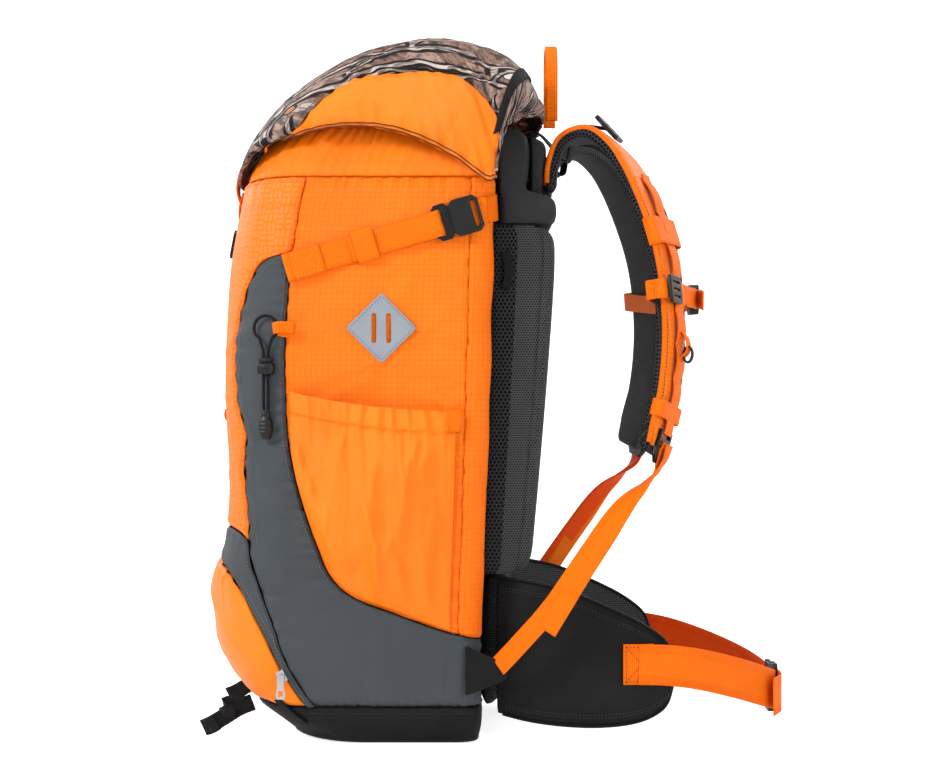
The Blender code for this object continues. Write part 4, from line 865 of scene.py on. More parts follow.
panels = {
    "side": dict(
        seed=3, finish="ripstop", thick=0.0016, swell=0.0008, swellSize=0.10, proud=0.0002,
        tuck={"left": 0.0012, "right": 0.0016, "low": 0.0022, "top": 0.0018},
        creases=[
            dict(count=16, angle=-52, spread=24, length=(0.03, 0.09), width=(0.003, 0.007), rise=0.0019),
            dict(count=16, angle=12, spread=22, length=(0.02, 0.06), width=(0.002, 0.004), rise=0.0013),
        ],
        puckers=[("top", 0.0013, 0.016, 0.014), ("left", 0.0008, 0.021, 0.012), ("right", 0.0010, 0.018, 0.012)],
    ),
    "rearStrip": dict(
        seed=5, finish="ripstop", thick=0.0016, swell=0.0005, swellSize=0.07, proud=0.0004,
        tuck={"left": 0.0022, "right": 0.0009, "low": 0.0022, "top": 0.0018},
        creases=[dict(count=10, angle=75, spread=18, length=(0.02, 0.05), width=(0.002, 0.004), rise=0.0006)],
        puckers=[("right", 0.0006, 0.022, 0.010)],
    ),
    "gusset": dict(
        seed=11, finish="slate", thick=0.0016, swell=0.0007, swellSize=0.08, proud=0.0006,
        tuck={"left": 0.0024, "right": 0.0024, "low": 0.0020, "top": 0.0020},
        creases=[
            dict(count=18, angle=84, spread=9, length=(0.03, 0.07), width=(0.0025, 0.005), rise=0.0015),
            dict(count=14, angle=-35, spread=14, length=(0.03, 0.07), width=(0.004, 0.008), rise=0.0018),
        ],
        puckers=[("right", 0.0012, 0.021, 0.010), ("left", 0.0014, 0.0125, 0.012), ("low", 0.0010, 0.0115, 0.007)],
    ),
    "front": dict(
        seed=17, finish="hiVis", thick=0.0016, swell=0.0009, swellSize=0.09, proud=0.0008,
        tuck={"left": 0.0024, "right": 0.0024, "low": 0.0020, "top": 0.0018},
        creases=[dict(count=22, angle=8, spread=18, length=(0.02, 0.06), width=(0.003, 0.006), rise=0.0011)],
        puckers=[("top", 0.0012, 0.018, 0.014), ("left", 0.0009, 0.021, 0.012), ("right", 0.0009, 0.021, 0.012)],
    ),
    "back": dict(
        seed=37, finish="airMesh", thick=0.0016, swell=0.0006, swellSize=0.07, proud=-0.0004,
        tuck={"left": 0.0014, "right": 0.0014, "low": 0.0014, "top": 0.0014},
    ),
    "band": dict(
        seed=23, finish="slate", thick=0.0014, swell=0.0003, swellSize=0.05, proud=0.0016,
        tuck={"low": 0.0016, "top": 0.0022}, puckers=[("top", 0.0005, 0.017, 0.008)],
    ),
    "bottomPocket": dict(
        seed=29, finish="taffeta", thick=0.0016, swell=0.0012, swellSize=0.08, proud=0.0004,
        tuck={"left": 0.0020, "right": 0.0020, "low": 0.0022, "top": 0.0024}, belly=(0.0040, 0.02),
        creases=[
            dict(count=18, angle=20, spread=25, length=(0.03, 0.08), width=(0.004, 0.009), rise=0.0016),
            dict(count=14, angle=80, spread=20, length=(0.02, 0.05), width=(0.003, 0.006), rise=0.0012),
        ],
        puckers=[("top", 0.0014, 0.018, 0.012), ("low", 0.0010, 0.024, 0.010)],
    ),
}
needle = {"pitch": 0.0034, "long": 0.0024, "radius": 0.00034}


def turnOn(seam, z):
    line = smoothPath(seam, 160, (0.47, 1.0))
    return np.interp(z, line[:, 1], line[:, 0])


def heightOn(seam, t):
    line = smoothPath(seam, 160, (0.47, 1.0))
    return np.interp(t, line[:, 0], line[:, 1])


def seamHeights(seam, low, high, count):
    # heights that crowd together where the seam runs level
    line = smoothPath(seam, 400, (0.47, 1.0))
    line = line[(line[:, 1] > low) & (line[:, 1] < high)]
    line = np.concatenate([[[line[0, 0], low]], line, [[line[-1, 0], high]]])
    walked = np.concatenate([[0], np.cumsum(np.linalg.norm(np.diff(line * (0.47, 1.0), axis=0), axis=1))])
    return np.interp(np.linspace(0, walked[-1], count), walked, line[:, 1])


def makeSidePanels(name, side):
    rearSeam = turnAt(0.052, 0.3)
    f = np.linspace(0, 1, 190)[:, None]
    for piece, t0, t1, count in (("rearStrip", 0.2025, rearSeam, 24), ("side", rearSeam, 0.6006, 92)):
        ts = np.linspace(t0, t1, count)[None, :]
        low = heightOn(bag["gussetRear"][:7], ts) + 0.0008
        heights = low + (bag["topSeam"] - 0.0006 - low) * f
        nodes = (f"side_panel_{name}",) if piece == "side" else ()
        surface = bagPanel(
            f"{'side_cloth' if piece == 'side' else 'side_rear_strip'}_{name}", np.broadcast_to(ts, heights.shape), heights, panels[piece], side, nodes, "orange_ripstop"
        )
        if piece == "side":
            stitch("pack", "orangeThread", beside(surface, "left", 0.004))
            stitch("pack", "orangeThread", beside(surface, "top", 0.005))
        else:
            stitch("pack", "orangeThread", beside(surface, "right", 0.0035))


def makeGusset(name, side):
    zs = np.unique(np.concatenate([seamHeights(bag["gussetFront"], bag["bootTop"] + 0.0006, 0.4572, 210), seamHeights(bag["gussetRear"], 0.099, 0.30, 60)]))
    a = np.where(zs < 0.0985, bag["turns"][0] + 0.003, turnOn(bag["gussetRear"], zs) + 0.0014)
    b = turnOn(bag["gussetFront"], zs) - 0.0012
    b = np.maximum(b, a + 0.002)
    f = np.linspace(0, 1, 84)[None, :]
    turns = a[:, None] + (b - a)[:, None] * f
    surface = bagPanel(
        f"gusset_{name}", turns, np.broadcast_to(zs[:, None], turns.shape), panels["gusset"], side, (f"corner_gusset_{name}",), "grey_cloth"
    )
    stitch("pack", "greyThread", beside(surface, "right", 0.013, start=0.42))
    stitch("pack", "greyThread", beside(surface, "left", 0.0045, start=0.3))


def makeFront():
    zs = seamHeights(bag["gussetFront"][5:] + [(0.603, 0.4605), (0.602, 0.495), (0.602, 0.531)], 0.194, bag["topSeam"] - 0.0006, 200)
    seam = smoothPath(bag["gussetFront"][5:] + [(0.603, 0.4605), (0.602, 0.495), (0.602, 0.531)], 300, (0.47, 1.0))
    edge = np.interp(zs, seam[:, 1], seam[:, 0]) + 0.0004
    f = np.linspace(0, 1, 150)[None, :]
    turns = edge[:, None] + (2 - 2 * edge)[:, None] * f
    dip = heightOn(bag["bandTop"], 1 - np.abs(turns - 1)) + 0.0008 - zs[0]
    heights = zs[:, None] + dip * np.clip(1 - (zs - zs[0]) / 0.05, 0, 1)[:, None]
    surface = bagPanel("front_cloth", turns, heights, panels["front"], nodes=("front_panel",), slot="orange_ripstop")
    for edge in ("left", "right"):
        stitch("pack", "orangeThread", beside(surface, edge, 0.004))
    stitch("pack", "orangeThread", beside(surface, "top", 0.005))
    stitch("pack", "orangeThread", beside(surface, "low", 0.006))


def makeBand():
    low = smoothPath(bag["zip"], 200, (0.47, 1.0))
    high = smoothPath(bag["bandTop"], 200, (0.47, 1.0))
    low, high = np.concatenate([low, (low * (-1, 1) + (2, 0))[-2::-1]]), np.concatenate([high, (high * (-1, 1) + (2, 0))[-2::-1]])
    f = np.linspace(0.02, 0.985, 14)[:, None, None]
    grid = low[None] + (high - low)[None] * f
    surface = bagPanel("zip_flap", grid[..., 0], np.maximum(grid[..., 1], bag["bootTop"] + 0.0006), panels["band"], nodes=("zip_band",), slot="grey_cloth")
    stitch("pack", "greyThread", beside(surface, "top", 0.004))
    stitch("pack", "greyThread", beside(surface, "low", 0.0032))
    stitch("pack", "greyThread", beside(surface, "low", 0.0075))


def makeBottomPocket():
    top = smoothPath(bag["zip"][1:], 150, (0.47, 1.0))
    top = np.concatenate([top, (top * (-1, 1) + (2, 0))[-2::-1]])
    f = np.linspace(0, 1, 80)[:, None]
    low = bag["bootTop"] + 0.0008
    heights = low + (top[None, :, 1] - 0.0010 - low) * f
    turns = np.broadcast_to(top[None, :, 0], heights.shape)
    bagPanel("bottom_pocket_cloth", turns, heights, panels["bottomPocket"], nodes=("bottom_pocket",), slot="orange_ripstop")


def makeBase():
    look = dict(edge=0.012, bulge=0.0018)
    ts = np.linspace(0, 2, 260, endpoint=False)
    rows = []
    rim = bagPoint(ts, 0.0)
    inner = np.stack([rim[:, 0] * 0.93, np.where(rim[:, 1] > 0, rim[:, 1] - 0.002, rim[:, 1] * 0.87), 0 * ts], axis=1)
    for shrink in (0.0, 0.2, 0.4, 0.6, 0.8, 0.93, 0.985):
        rows.append(np.stack([inner[:, 0] * shrink, (inner[:, 1] + 0.03) * shrink - 0.03, 0 * ts], axis=1))
    lower = bagPoint(ts, 0.006)
    for k in range(7):  # the turned edge of the boot
        a = k / 6 * math.pi / 2
        rows.append(inner + (lower - inner) * (math.sin(a), math.sin(a), 1 - math.cos(a)))
    heights = np.linspace(0.0085, bag["bootTop"] - 0.0005, 14)
    for z in heights:
        swell = look["bulge"] * math.sin(math.pi * (z - 0.006) / 0.0305) + 0.0004 * rolling(roundLength(ts), 0 * ts + z, 41, 0.05)
        rows.append(bagPoint(ts, z, swell - (0.0016 if z > 0.0345 else 0.0)))
    points = np.array(rows)
    u = np.concatenate([roundLength(ts), [roundLength(2.0)]])
    v = np.concatenate([[0.0], np.cumsum(np.linalg.norm(np.diff(points[:, 40], axis=0), axis=1))])
    uv = np.stack(np.broadcast_arrays(u[None, :], v[:, None]), axis=-1)
    outer = points - np.array([0, -0.03, 0.03])
    base = gridPiece("base_boot", points, uv, "black", wrap=True, outwards=outer, thick=0.003)
    work = bmesh.new()
    work.from_mesh(base.data)
    bmesh.ops.remove_doubles(work, verts=work.verts, dist=1e-6)
    work.to_mesh(base.data)
    work.free()
    settle(base, "pack", "base_panel", slot="black_cloth")
    stitch("pack", "blackThread", bagPoint(np.linspace(0.22, 1.78, 400), bag["bootTop"] - 0.006, 0.0021))


def makeBack():
    turns, heights = np.meshgrid(np.linspace(-0.199, 0.199, 64), np.linspace(bag["bootTop"] + 0.0006, bag["topSeam"] - 0.0006, 90))
    bagPanel("back_cloth", turns, heights, panels["back"], nodes=("back_panel",), slot="spacer_mesh")


def paintFaces(obj, finish, chosen):
    # a second finish on the faces that chosen(centres, normals) picks
    mesh = obj.data
    mesh.materials.append(finishes[finish])
    centres, normals, index = np.empty(len(mesh.polygons) * 3), np.empty(len(mesh.polygons) * 3), np.zeros(len(mesh.polygons), np.int32)
    mesh.polygons.foreach_get("center", centres)
    mesh.polygons.foreach_get("normal", normals)
    index[chosen(centres.reshape(-1, 3), normals.reshape(-1, 3))] = len(mesh.materials) - 1
    mesh.polygons.foreach_set("material_index", index)


def makeLining():
    # coated cloth behind every seam
    ts, zs = np.linspace(0, 2, 180, endpoint=False), np.linspace(0.030, 0.534, 50)
    points = bagPoint(*np.meshgrid(ts, zs), -0.0036)
    uv = np.stack(np.broadcast_arrays(np.append(roundLength(ts), roundLength(2.0))[None, :], zs[:, None]), axis=-1)
    lining = gridPiece("inner_lining", points, uv, "taffeta", wrap=True, outwards=points * (1, 1, 0))
    paintFaces(lining, "black", lambda at, way: at[:, 2] < 0.44)
    settle(lining, "pack", slot="orange_ripstop")


def makeCollar():
    ts = np.linspace(0, 2, 420, endpoint=False)
    zs = np.linspace(bag["topSeam"] + 0.0004, bag["collarTop"], 44)
    t, z = np.meshgrid(ts, zs)
    u = roundLength(t)
    up = (z - zs[0]) / (zs[-1] - zs[0])
    pucker = np.sin(u * math.tau / 0.0135 + 2.2 * rolling(u, z, 51, 0.11)) + 0.5 * np.sin(u * math.tau / 0.0071 + 2 * rolling(u, z, 52, 0.07))
    lift = 0.0010 + pucker * 0.0016 * up + 0.0007 * pucker * np.exp(-up * 9)
    lift += creased(u, z, 53, dict(count=50, angle=70, spread=25, length=(0.01, 0.035), width=(0.002, 0.004), rise=0.0010))
    lift += -0.0022 * np.exp(-(((z - zs[0]) / 0.0022) ** 2)) - 0.0026 * np.exp(-(((z - 0.5800) / 0.0015) ** 2))
    points = bagPoint(t, z, lift)
    uv = np.stack(np.broadcast_arrays(np.append(roundLength(ts), roundLength(2.0))[None, :], zs[:, None]), axis=-1)
    collar = gridPiece("collar_cloth", points, uv, "taffeta", wrap=True, outwards=points - np.array([0, -0.04, 0.56]), thick=0.0012)
    settle(collar, "pack", "collar", slot="orange_ripstop")
    return points


for name, side in (("right", 1.0), ("left", -1.0)):
    makeSidePanels(name, side)
    makeGusset(name, side)
makeFront()
makeBand()
makeBottomPocket()
makeBase()
makeBack()
makeLining()
makeCollar()
print("bag panels are sewn")

# ---- lid: printed top, orange sides, elastic hem, zip across the rear
lid = {
    "halfWidth": 0.151,
    "power": 2 / 2.7,
    "stations": [  # middle (y, z), hem (y, z), share of the half width
        ((-0.171, 0.531), (-0.156, 0.546), 0.58), ((-0.163, 0.556), (-0.134, 0.560), 0.78),
        ((-0.149, 0.582), (-0.104, 0.568), 0.91), ((-0.126, 0.609), (-0.075, 0.574), 0.96),
        ((-0.094, 0.635), (-0.045, 0.575), 0.98), ((-0.050, 0.659), (-0.015, 0.571), 0.99),
        ((0.000, 0.673), (0.015, 0.560), 1.00), ((0.045, 0.673), (0.045, 0.544), 1.00),
        ((0.082, 0.663), (0.076, 0.523), 1.00), ((0.107, 0.646), (0.083, 0.550), 0.99),
        ((0.121, 0.624), (0.088, 0.572), 0.95), ((0.129, 0.604), (0.104, 0.586), 0.80),
        ((0.130, 0.594), (0.117, 0.590), 0.62),
    ],
    "border": [(0.9, 1.0), (1.6, 0.93), (2.5, 0.74), (3.4, 0.52), (4.4, 0.40), (5.7, 0.385), (7.0, 0.37), (7.65, 0.43), (8.35, 0.60)],
    "sideEnds": (0.9, 8.35),
    "rearSeam": (9.35, 1.0),  # station at the middle, and how much earlier it is at the side
    "cloth": 0.0022,
    "proud": 0.0038,
}


def acrossFor(share):
    return np.arccos(np.clip(1 - share, 0, 1) ** (1 / lid["power"])) * 2 / math.pi


def lidPoint(s, across):
    s, across = np.broadcast_arrays(np.asarray(s, float), np.asarray(across, float))
    places = np.array([[*a, *b, w] for a, b, w in lid["stations"]])
    cy, cz, ey, ez, share = (follow(list(zip(range(len(places)), places[:, k])), s) for k in range(5))
    a = np.abs(across) * math.pi / 2
    x = np.sign(across) * lid["halfWidth"] * share * np.sin(a) ** lid["power"]
    k = 1 - np.maximum(np.cos(a), 0) ** lid["power"]
    return np.stack([x, cy + (ey - cy) * k, cz + (ez - cz) * k], axis=-1)


def borderAt(s):
    return acrossFor(np.clip(follow(lid["border"], s), 0, 1))


def lidPatch(name, s, across, look, nodes=(), slot="camo_cloth"):
    base = lidPoint(s, across)
    normals = gridNormals(base)
    away = base - np.array([0.0, 0.0, 0.50])
    if (normals * away).sum() < 0:
        normals = -normals
    edges = edgeDistances(base)
    u, v = edges["left"], edges["low"]
    lift = look["swell"] * rolling(u, v, look["seed"], look["swellSize"])
    for k, crease in enumerate(look["creases"]):
        lift = lift + creased(u, v, look["seed"] + 7 * k + 1, crease)
    for edge, high, pitch, reach in look.get("puckers", ()):
        along = u if edge in ("low", "top") else v
        lift = lift + high * np.exp(-edges[edge] / reach) * np.sin(along * math.tau / pitch + 1.5 * rolling(u, v, look["seed"] + 3, 0.05))
    for edge, deep in look["tuck"].items():
        lift = lift - deep * np.exp(-((edges[edge] / 0.0024) ** 2))
    lift = lid["proud"] * np.tanh(lift / lid["proud"])
    points = base + normals * lift[..., None]
    obj = gridPiece(name, points, np.stack([u, v], axis=-1), look["finish"], outwards=normals, thick=lid["cloth"])
    settle(obj, "lid", *nodes, slot=slot)
    return points, normals


def makeLid():
    start, drop = lid["rearSeam"]
    f, j = np.meshgrid(np.linspace(0, 1, 150), np.linspace(-1, 1, 190), indexing="ij")
    s = f * start
    for _ in range(8):  # the rear seam curves forward at the sides
        across = j * borderAt(s)
        s = f * (start - drop * (np.abs(across) / 0.83) ** 2)
    top = dict(
        seed=61, finish="camo", swell=0.0008, swellSize=0.11, tuck={"low": 0.0015, "top": 0.0022, "left": 0.0022, "right": 0.0022},
        creases=[
            dict(count=18, angle=75, spread=30, length=(0.03, 0.08), width=(0.003, 0.007), rise=0.0013),
            dict(count=16, angle=10, spread=25, length=(0.02, 0.06), width=(0.003, 0.006), rise=0.0010),
        ],
        puckers=[("left", 0.0012, 0.022, 0.014), ("right", 0.0012, 0.022, 0.014)],
    )
    surface = lidPatch("lid_top", s, across, top, ("lid_shell",))
    stitch("lid", "darkThread", beside(surface, "left", 0.0035, start=0.12))
    stitch("lid", "darkThread", beside(surface, "right", 0.0035, start=0.12))

    f, j = np.meshgrid(np.linspace(0, 1, 46), np.linspace(-1, 1, 150), indexing="ij")
    first = start - drop * np.minimum(np.abs(j) / 0.83, 1.05) ** 2 + 0.03
    s = first + (12.0 - first) * f
    rear = dict(
        seed=67, finish="camo", swell=0.0012, swellSize=0.07, tuck={"low": 0.0022, "top": 0.0010, "left": 0.0012, "right": 0.0012},
        creases=[dict(count=22, angle=85, spread=22, length=(0.015, 0.04), width=(0.003, 0.006), rise=0.0016)],
    )
    lidPatch("lid_rear", s, j, rear)

    s0, s1 = lid["sideEnds"]
    for name, side in (("right", 1.0), ("left", -1.0)):
        s, k = np.meshgrid(np.linspace(s0, s1, 170), np.linspace(0, 1, 60), indexing="ij")
        across = borderAt(s) + (0.999 - borderAt(s)) * k
        look = dict(
            seed=71 + int(side), finish="taffeta", swell=0.0014, swellSize=0.07,
            tuck={"left": 0.0022, "low": 0.0012, "top": 0.0020},
            creases=[
                dict(count=24, angle=25, spread=20, length=(0.02, 0.07), width=(0.003, 0.008), rise=0.0019),
                dict(count=16, angle=-20, spread=18, length=(0.02, 0.06), width=(0.003, 0.007), rise=0.0016),
            ],
            puckers=[("right", 0.0022, 0.019, 0.020), ("left", 0.0009, 0.016, 0.010)],
        )
        surface = lidPatch(f"lid_side_{name}", s, across * side, look, slot="orange_ripstop")
        stitch("lid", "orangeThread", beside(surface, "left", 0.004))
        # elastic binding along the hem
        rim = surface[0][:, -1] + surface[1][:, -1] * 0.0004
        inner = beside(surface, "right", 0.0085, 0.0014)
        tape = np.stack([rim + (inner - rim) * f - (surface[1][:, -1] * (0.0016 if f in (0, 1) else 0)) for f in (0, 0.12, 0.35, 0.65, 0.88, 1)], axis=1)
        u = np.concatenate([[0], np.cumsum(np.linalg.norm(np.diff(rim, axis=0), axis=1))])
        uv = np.stack(np.broadcast_arrays(u[:, None], np.linspace(0, 0.0085, 6)[None, :]), axis=-1)
        settle(gridPiece(f"lid_hem_{name}", tape, uv, "taffeta", outwards=surface[1][:, :6], thick=0.0008), "lid", slot="orange_ripstop")
        # two dark cords along the hem: painted shadow in the seam valleys at the edges of the binding
        for label, away, lift in (("low", 0.0006, 0.0014), ("high", 0.0046, 0.0019)):
            line = smoothPath(beside(surface, "right", away, lift, start=0.02, end=0.98), 160)
            settle(tubePiece(f"lid_hem_piping_{label}_{name}", line, (1, 0, 0), oval(0.0006, 0.0006, 6), "darkThread"), "lid", slot="black_cloth")

    # zip tape over the rear seam; the line of its coil is worked out and handed back
    across = np.linspace(-0.86, 0.86, 130)
    middle = start - drop * (np.abs(across) / 0.83) ** 2
    columns = []
    for shift in (-0.30, -0.22, 0.0, 0.22, 0.30):
        base = lidPoint(middle + shift, across)
        out = gridNormals(np.stack([base, lidPoint(middle + shift + 0.05, across)]))[0]
        out = out if (out * (base - [0, 0, 0.5])).sum() > 0 else -out
        columns.append(base + out * (0.0002 if abs(shift) == 0.30 else 0.0022))
        if shift == 0.0:
            coil = base + out * 0.0030
    tape = np.array(columns)
    u = np.concatenate([[0], np.cumsum(np.linalg.norm(np.diff(tape[2], axis=0), axis=1))])
    uv = np.stack(np.broadcast_arrays(u[None, :], np.linspace(-0.007, 0.007, 5)[:, None]), axis=-1)
    settle(gridPiece("lid_zip_tape", tape, uv, "binding", outwards=tape - np.array([0, 0, 0.5]), thick=0.0008), "lid", slot="black_cloth")
    return coil


lidZip = makeLid()
print("lid is cut and sewn")

# ---- side pockets, compression straps, lash tabs and tool loops
pocket = {"turns": (0.318, 0.596), "top": (0.312, 0.018), "bulge": 0.0175, "hem": 0.020, "cloth": 0.0011}


def makeSidePocket(name, side):
    u, v = np.meshgrid(np.linspace(0, 1, 150), np.linspace(0, 1, 150))
    t = pocket["turns"][0] + (pocket["turns"][1] - pocket["turns"][0]) * u
    low = heightOn(bag["gussetRear"][:7], t) + 0.0035
    top = pocket["top"][0] + pocket["top"][1] * u * u
    z = low + (top - low) * v
    swell = np.sin(math.pi * u) ** 0.6 * np.sin(math.pi * np.minimum(1, 0.72 * v)) ** 0.7
    gathered = np.exp(-(1 - v) / 0.30)
    run = roundLength(t)
    seed = 81 if side > 0 else 82
    gather = np.sin(run * math.tau / 0.0150 + 2.0 * rolling(run, z, seed, 0.08)) + 0.45 * np.sin(run * math.tau / 0.0083 + 1.8 * rolling(run, z, seed + 1, 0.06))
    inside = np.minimum(1, np.minimum(u, 1 - u) * 12)
    lift = 0.0022 + pocket["bulge"] * swell + inside * gather * 0.0016 * gathered
    hang = [
        dict(count=22, angle=84, spread=10, length=(0.05, 0.13), width=(0.004, 0.009), rise=0.0034),
        dict(count=12, angle=112, spread=12, length=(0.05, 0.11), width=(0.005, 0.011), rise=0.0026),
    ]
    for k, crease in enumerate(hang):
        lift += inside * np.minimum(1, v * 8) * (1 - 0.7 * v**4) * creased(run, z, seed + 5 * k, crease)
    lift += 0.0010 * inside * rolling(run, z, seed + 9, 0.06)
    seam = top - pocket["hem"]
    lift += 0.0012 * (z > seam) * inside - 0.0016 * np.exp(-(((z - seam) / 0.0016) ** 2))
    points = bagPoint(t, z, lift)
    outer = bagPoint(t, z, lift + 0.01) - points
    points, outer = points * (side, 1, 1), outer * (side, 1, 1)
    obj = gridPiece(f"side_pocket_cloth_{name}", points, np.stack([run, z], axis=-1), "taffeta", outwards=outer, thick=pocket["cloth"])
    settle(obj, "pack", f"side_pocket_{name}", slot="orange_ripstop")
    normals = gridNormals(points)
    surface = (points, normals if (normals * outer).sum() > 0 else -normals)
    stitch("pack", "orangeThread", beside(surface, "left", 0.004))
    stitch("pack", "orangeThread", beside(surface, "left", 0.0075))
    stitch("pack", "orangeThread", beside(surface, "low", 0.004))
    stitch("pack", "orangeThread", beside(surface, "top", pocket["hem"] + 0.0025))
    stitch("pack", "orangeThread", beside(surface, "top", pocket["hem"] - 0.0025))
    # square webbing tab that ends the hem elastic
    t0 = turnAt(0.0400, 0.30)
    line = [bagPoint(t0 + (0.0002 if k else 0), z, 0.0064) * (side, 1, 1) for k, z in enumerate((0.3135, 0.306, 0.299, 0.2925))]
    settle(webbing(f"pocket_tab_{name}", line, (0, 1, 0), 0.019, thick=0.0020), "pack", slot="orange_webbing")


def boxStitch(body, thread, corner, along, across, long, wide, cross=True):
    corner, along, across = np.array(corner, float), unit(np.array(along, float)), unit(np.array(across, float))
    places = [corner, corner + along * long, corner + along * long + across * wide, corner + across * wide, corner]
    for a, b in list(zip(places, places[1:])) + ([(places[0], places[2]), (places[1], places[3])] if cross else []):
        stitch(body, thread, np.linspace(a, b, 6))


sideStrap = {"front": (-0.108, 0.445), "buckle": (0.0400, 0.4885), "webWidth": 0.025, "buckleHalf": 0.0045, "maleLength": 0.017, "femaleLength": 0.028}


def makeSideStrap(name, side):
    y0, z0 = sideStrap["front"]
    y1, z1 = sideStrap["buckle"]
    body = f"side_strap_{name}"
    start = np.array([halfWidth(z0) + 0.0026, y0, z0])
    heights = [z1 - 0.02, z1, z1 + 0.02]
    centre = np.array([max(halfWidth(z) for z in heights) + sideStrap["buckleHalf"] + 0.001, y1, z1])
    slope = unit(np.array([0, y1 - y0, z1 - z0]))
    up = np.cross(slope, [1.0, 0, 0])
    end = centre - slope * (sideStrap["maleLength"] - 0.0046)
    line = [start]
    for f in (0.12, 0.25, 0.4, 0.55, 0.7, 0.82):
        p = start + (end - start) * f
        p[0] = halfWidth(p[2]) + 0.0030 + 0.0008 * math.sin(f * 9)
        line.append(p)
    line += [end + (0.0008, 0, 0)]
    mirror = np.array([side, 1, 1])
    line = np.array(line)
    main = webbing(f"side_webbing_{name}", line * mirror, up * mirror, sideStrap["webWidth"])
    # the free tail lies on top and turns round the bar
    tail = [line[3] + (0.0023, 0, 0), line[5] + (0.0023, 0, 0), line[6] + (0.0026, 0, 0), end + slope * 0.0005 + (0.0036, 0, 0), end + slope * 0.0024 + (0.0010, 0, 0), end + slope * 0.0006 - (0.0014, 0, 0)]
    tailPiece = webbing(f"side_webbing_tail_{name}", np.array(tail) * mirror, up * mirror, sideStrap["webWidth"] - 0.0006)
    keeperAt = line[0] + (line[-1] - line[0]) * 0.50
    keeperAt[0] = halfWidth(keeperAt[2]) + 0.0042
    ring = softBox(sideStrap["webWidth"] / 2 + 0.0022, 0.0042, 5, 32)
    path = np.array([keeperAt + up * a + np.array([1.0, 0, 0]) * b for a, b in ring] + [keeperAt + up * ring[0][0] + np.array([1.0, 0, 0]) * ring[0][1]])
    keeper = tubePiece(f"side_keeper_{name}", path * mirror, slope * mirror, flatSection(0.020, 0.0014), "webbing")
    for piece in (main, tailPiece, keeper):
        settle(piece, body, slot="orange_webbing")
    settle(main, body, f"side_strap_{name}")
    # sewn anchor at the front, and the short webbing behind the socket
    sewn = [start - slope * 0.006 + (0.0012, 0, 0), start - slope * 0.003 + (0.0016, 0, 0), start + slope * 0.0002 + (0.0019, 0, 0)]
    settle(webbing(f"side_anchor_{name}", np.array(sewn) * mirror, up * mirror, 0.027), "pack", slot="orange_webbing")
    anchor = [start + slope * 0.0004 + (0.0019, 0, 0), start + slope * 0.012 + (0.0022, 0, 0), start + slope * 0.030 + (0.0020, 0, 0)]
    settle(webbing(f"side_anchor_top_{name}", np.array(anchor) * mirror, up * mirror, 0.027), body, slot="orange_webbing")
    corner = (start + slope * 0.004 - up * 0.0105 + (0.0034, 0, 0)) * mirror
    boxStitch(body, "orangeThread", corner, slope * mirror, up * mirror, 0.022, 0.021)
    back = centre + slope * (sideStrap["femaleLength"] - 0.0055)
    stub = [back, back + slope * 0.006 - (0.0010, 0, 0), back + slope * 0.012 - (0.0036, 0, 0)]
    turn = float(turnAt(back[1] + 0.012, back[2]))
    for step in (0.0, 0.02, 0.04, 0.06):
        p = bagPoint(turn - step, back[2] + 0.0035 + step * 0.06, 0.0026)
        stub.append(p)
    settle(webbing(f"side_stub_{name}", np.array(stub) * mirror, (0, 0.25 * 0, 1), sideStrap["webWidth"]), "pack", slot="orange_webbing")
    fold = [back + (0.0022, 0, 0), back - slope * 0.0022 + (0.0014, 0, 0), back - slope * 0.0026, back - slope * 0.0016 - (0.0016, 0, 0), back + slope * 0.002 - (0.0020, 0, 0)]
    settle(webbing(f"side_stub_fold_{name}", np.array(fold) * mirror, up * mirror, sideStrap["webWidth"] - 0.001, thick=0.0014), "pack", slot="orange_webbing")


def platePiece(name, loops, thick, finish, bevel=0.0003):
    # a flat plate with holes: the first loop is its outline, the others are its openings
    curve = bpy.data.curves.new(name, "CURVE")
    curve.dimensions, curve.fill_mode = "2D", "BOTH"
    curve.extrude, curve.bevel_depth, curve.bevel_resolution = thick / 2 - bevel, bevel, 1
    for loop in loops:
        spline = curve.splines.new("POLY")
        spline.points.add(len(loop) - 1)
        spline.points.foreach_set("co", np.array([[x, y, 0, 1] for x, y in loop], np.float32).reshape(-1))
        spline.use_cyclic_u = True
    holder = bpy.data.objects.new(name + "_flat", curve)
    scene.collection.objects.link(holder)
    graph = bpy.context.evaluated_depsgraph_get()
    mesh = bpy.data.meshes.new_from_object(holder.evaluated_get(graph), depsgraph=graph)
    bpy.data.objects.remove(holder)
    work = bmesh.new()
    work.from_mesh(mesh)
    bmesh.ops.remove_doubles(work, verts=work.verts, dist=1e-6)
    bmesh.ops.recalc_face_normals(work, faces=work.faces)
    work.to_mesh(mesh)
    work.free()
    mesh.materials.clear()
    mesh.materials.append(finishes[finish])
    obj = bpy.data.objects.new(name, mesh)
    scene.collection.objects.link(obj)
    return obj


def layOn(obj, at, along, out):
    # puts the piece's own X along a direction and its Z out of the surface, in its vertices
    x = Vector(along).normalized()
    z = (Vector(out) - x * Vector(out).dot(x)).normalized()
    obj.data.transform(Matrix.Translation(Vector(at)) @ Matrix((x, z.cross(x), z)).transposed().to_4x4())
    return obj


def roundedLoop(corners, radius, steps=5):
    loop = []
    corners = [np.array(c, float) for c in corners]
    for i, c in enumerate(corners):
        a, b = corners[i - 1], corners[(i + 1) % len(corners)]
        p, q = c + unit(a - c) * radius, c + unit(b - c) * radius
        for f in np.linspace(0, 1, steps):
            loop.append(p * (1 - f) ** 2 + 2 * c * f * (1 - f) + q * f * f)
    return [tuple(p) for p in loop]


lashTab = {"at": (-0.0250, 0.3885), "reach": 0.0325, "slot": (0.0025, 0.014), "slotGap": 0.0068, "thick": 0.0018}


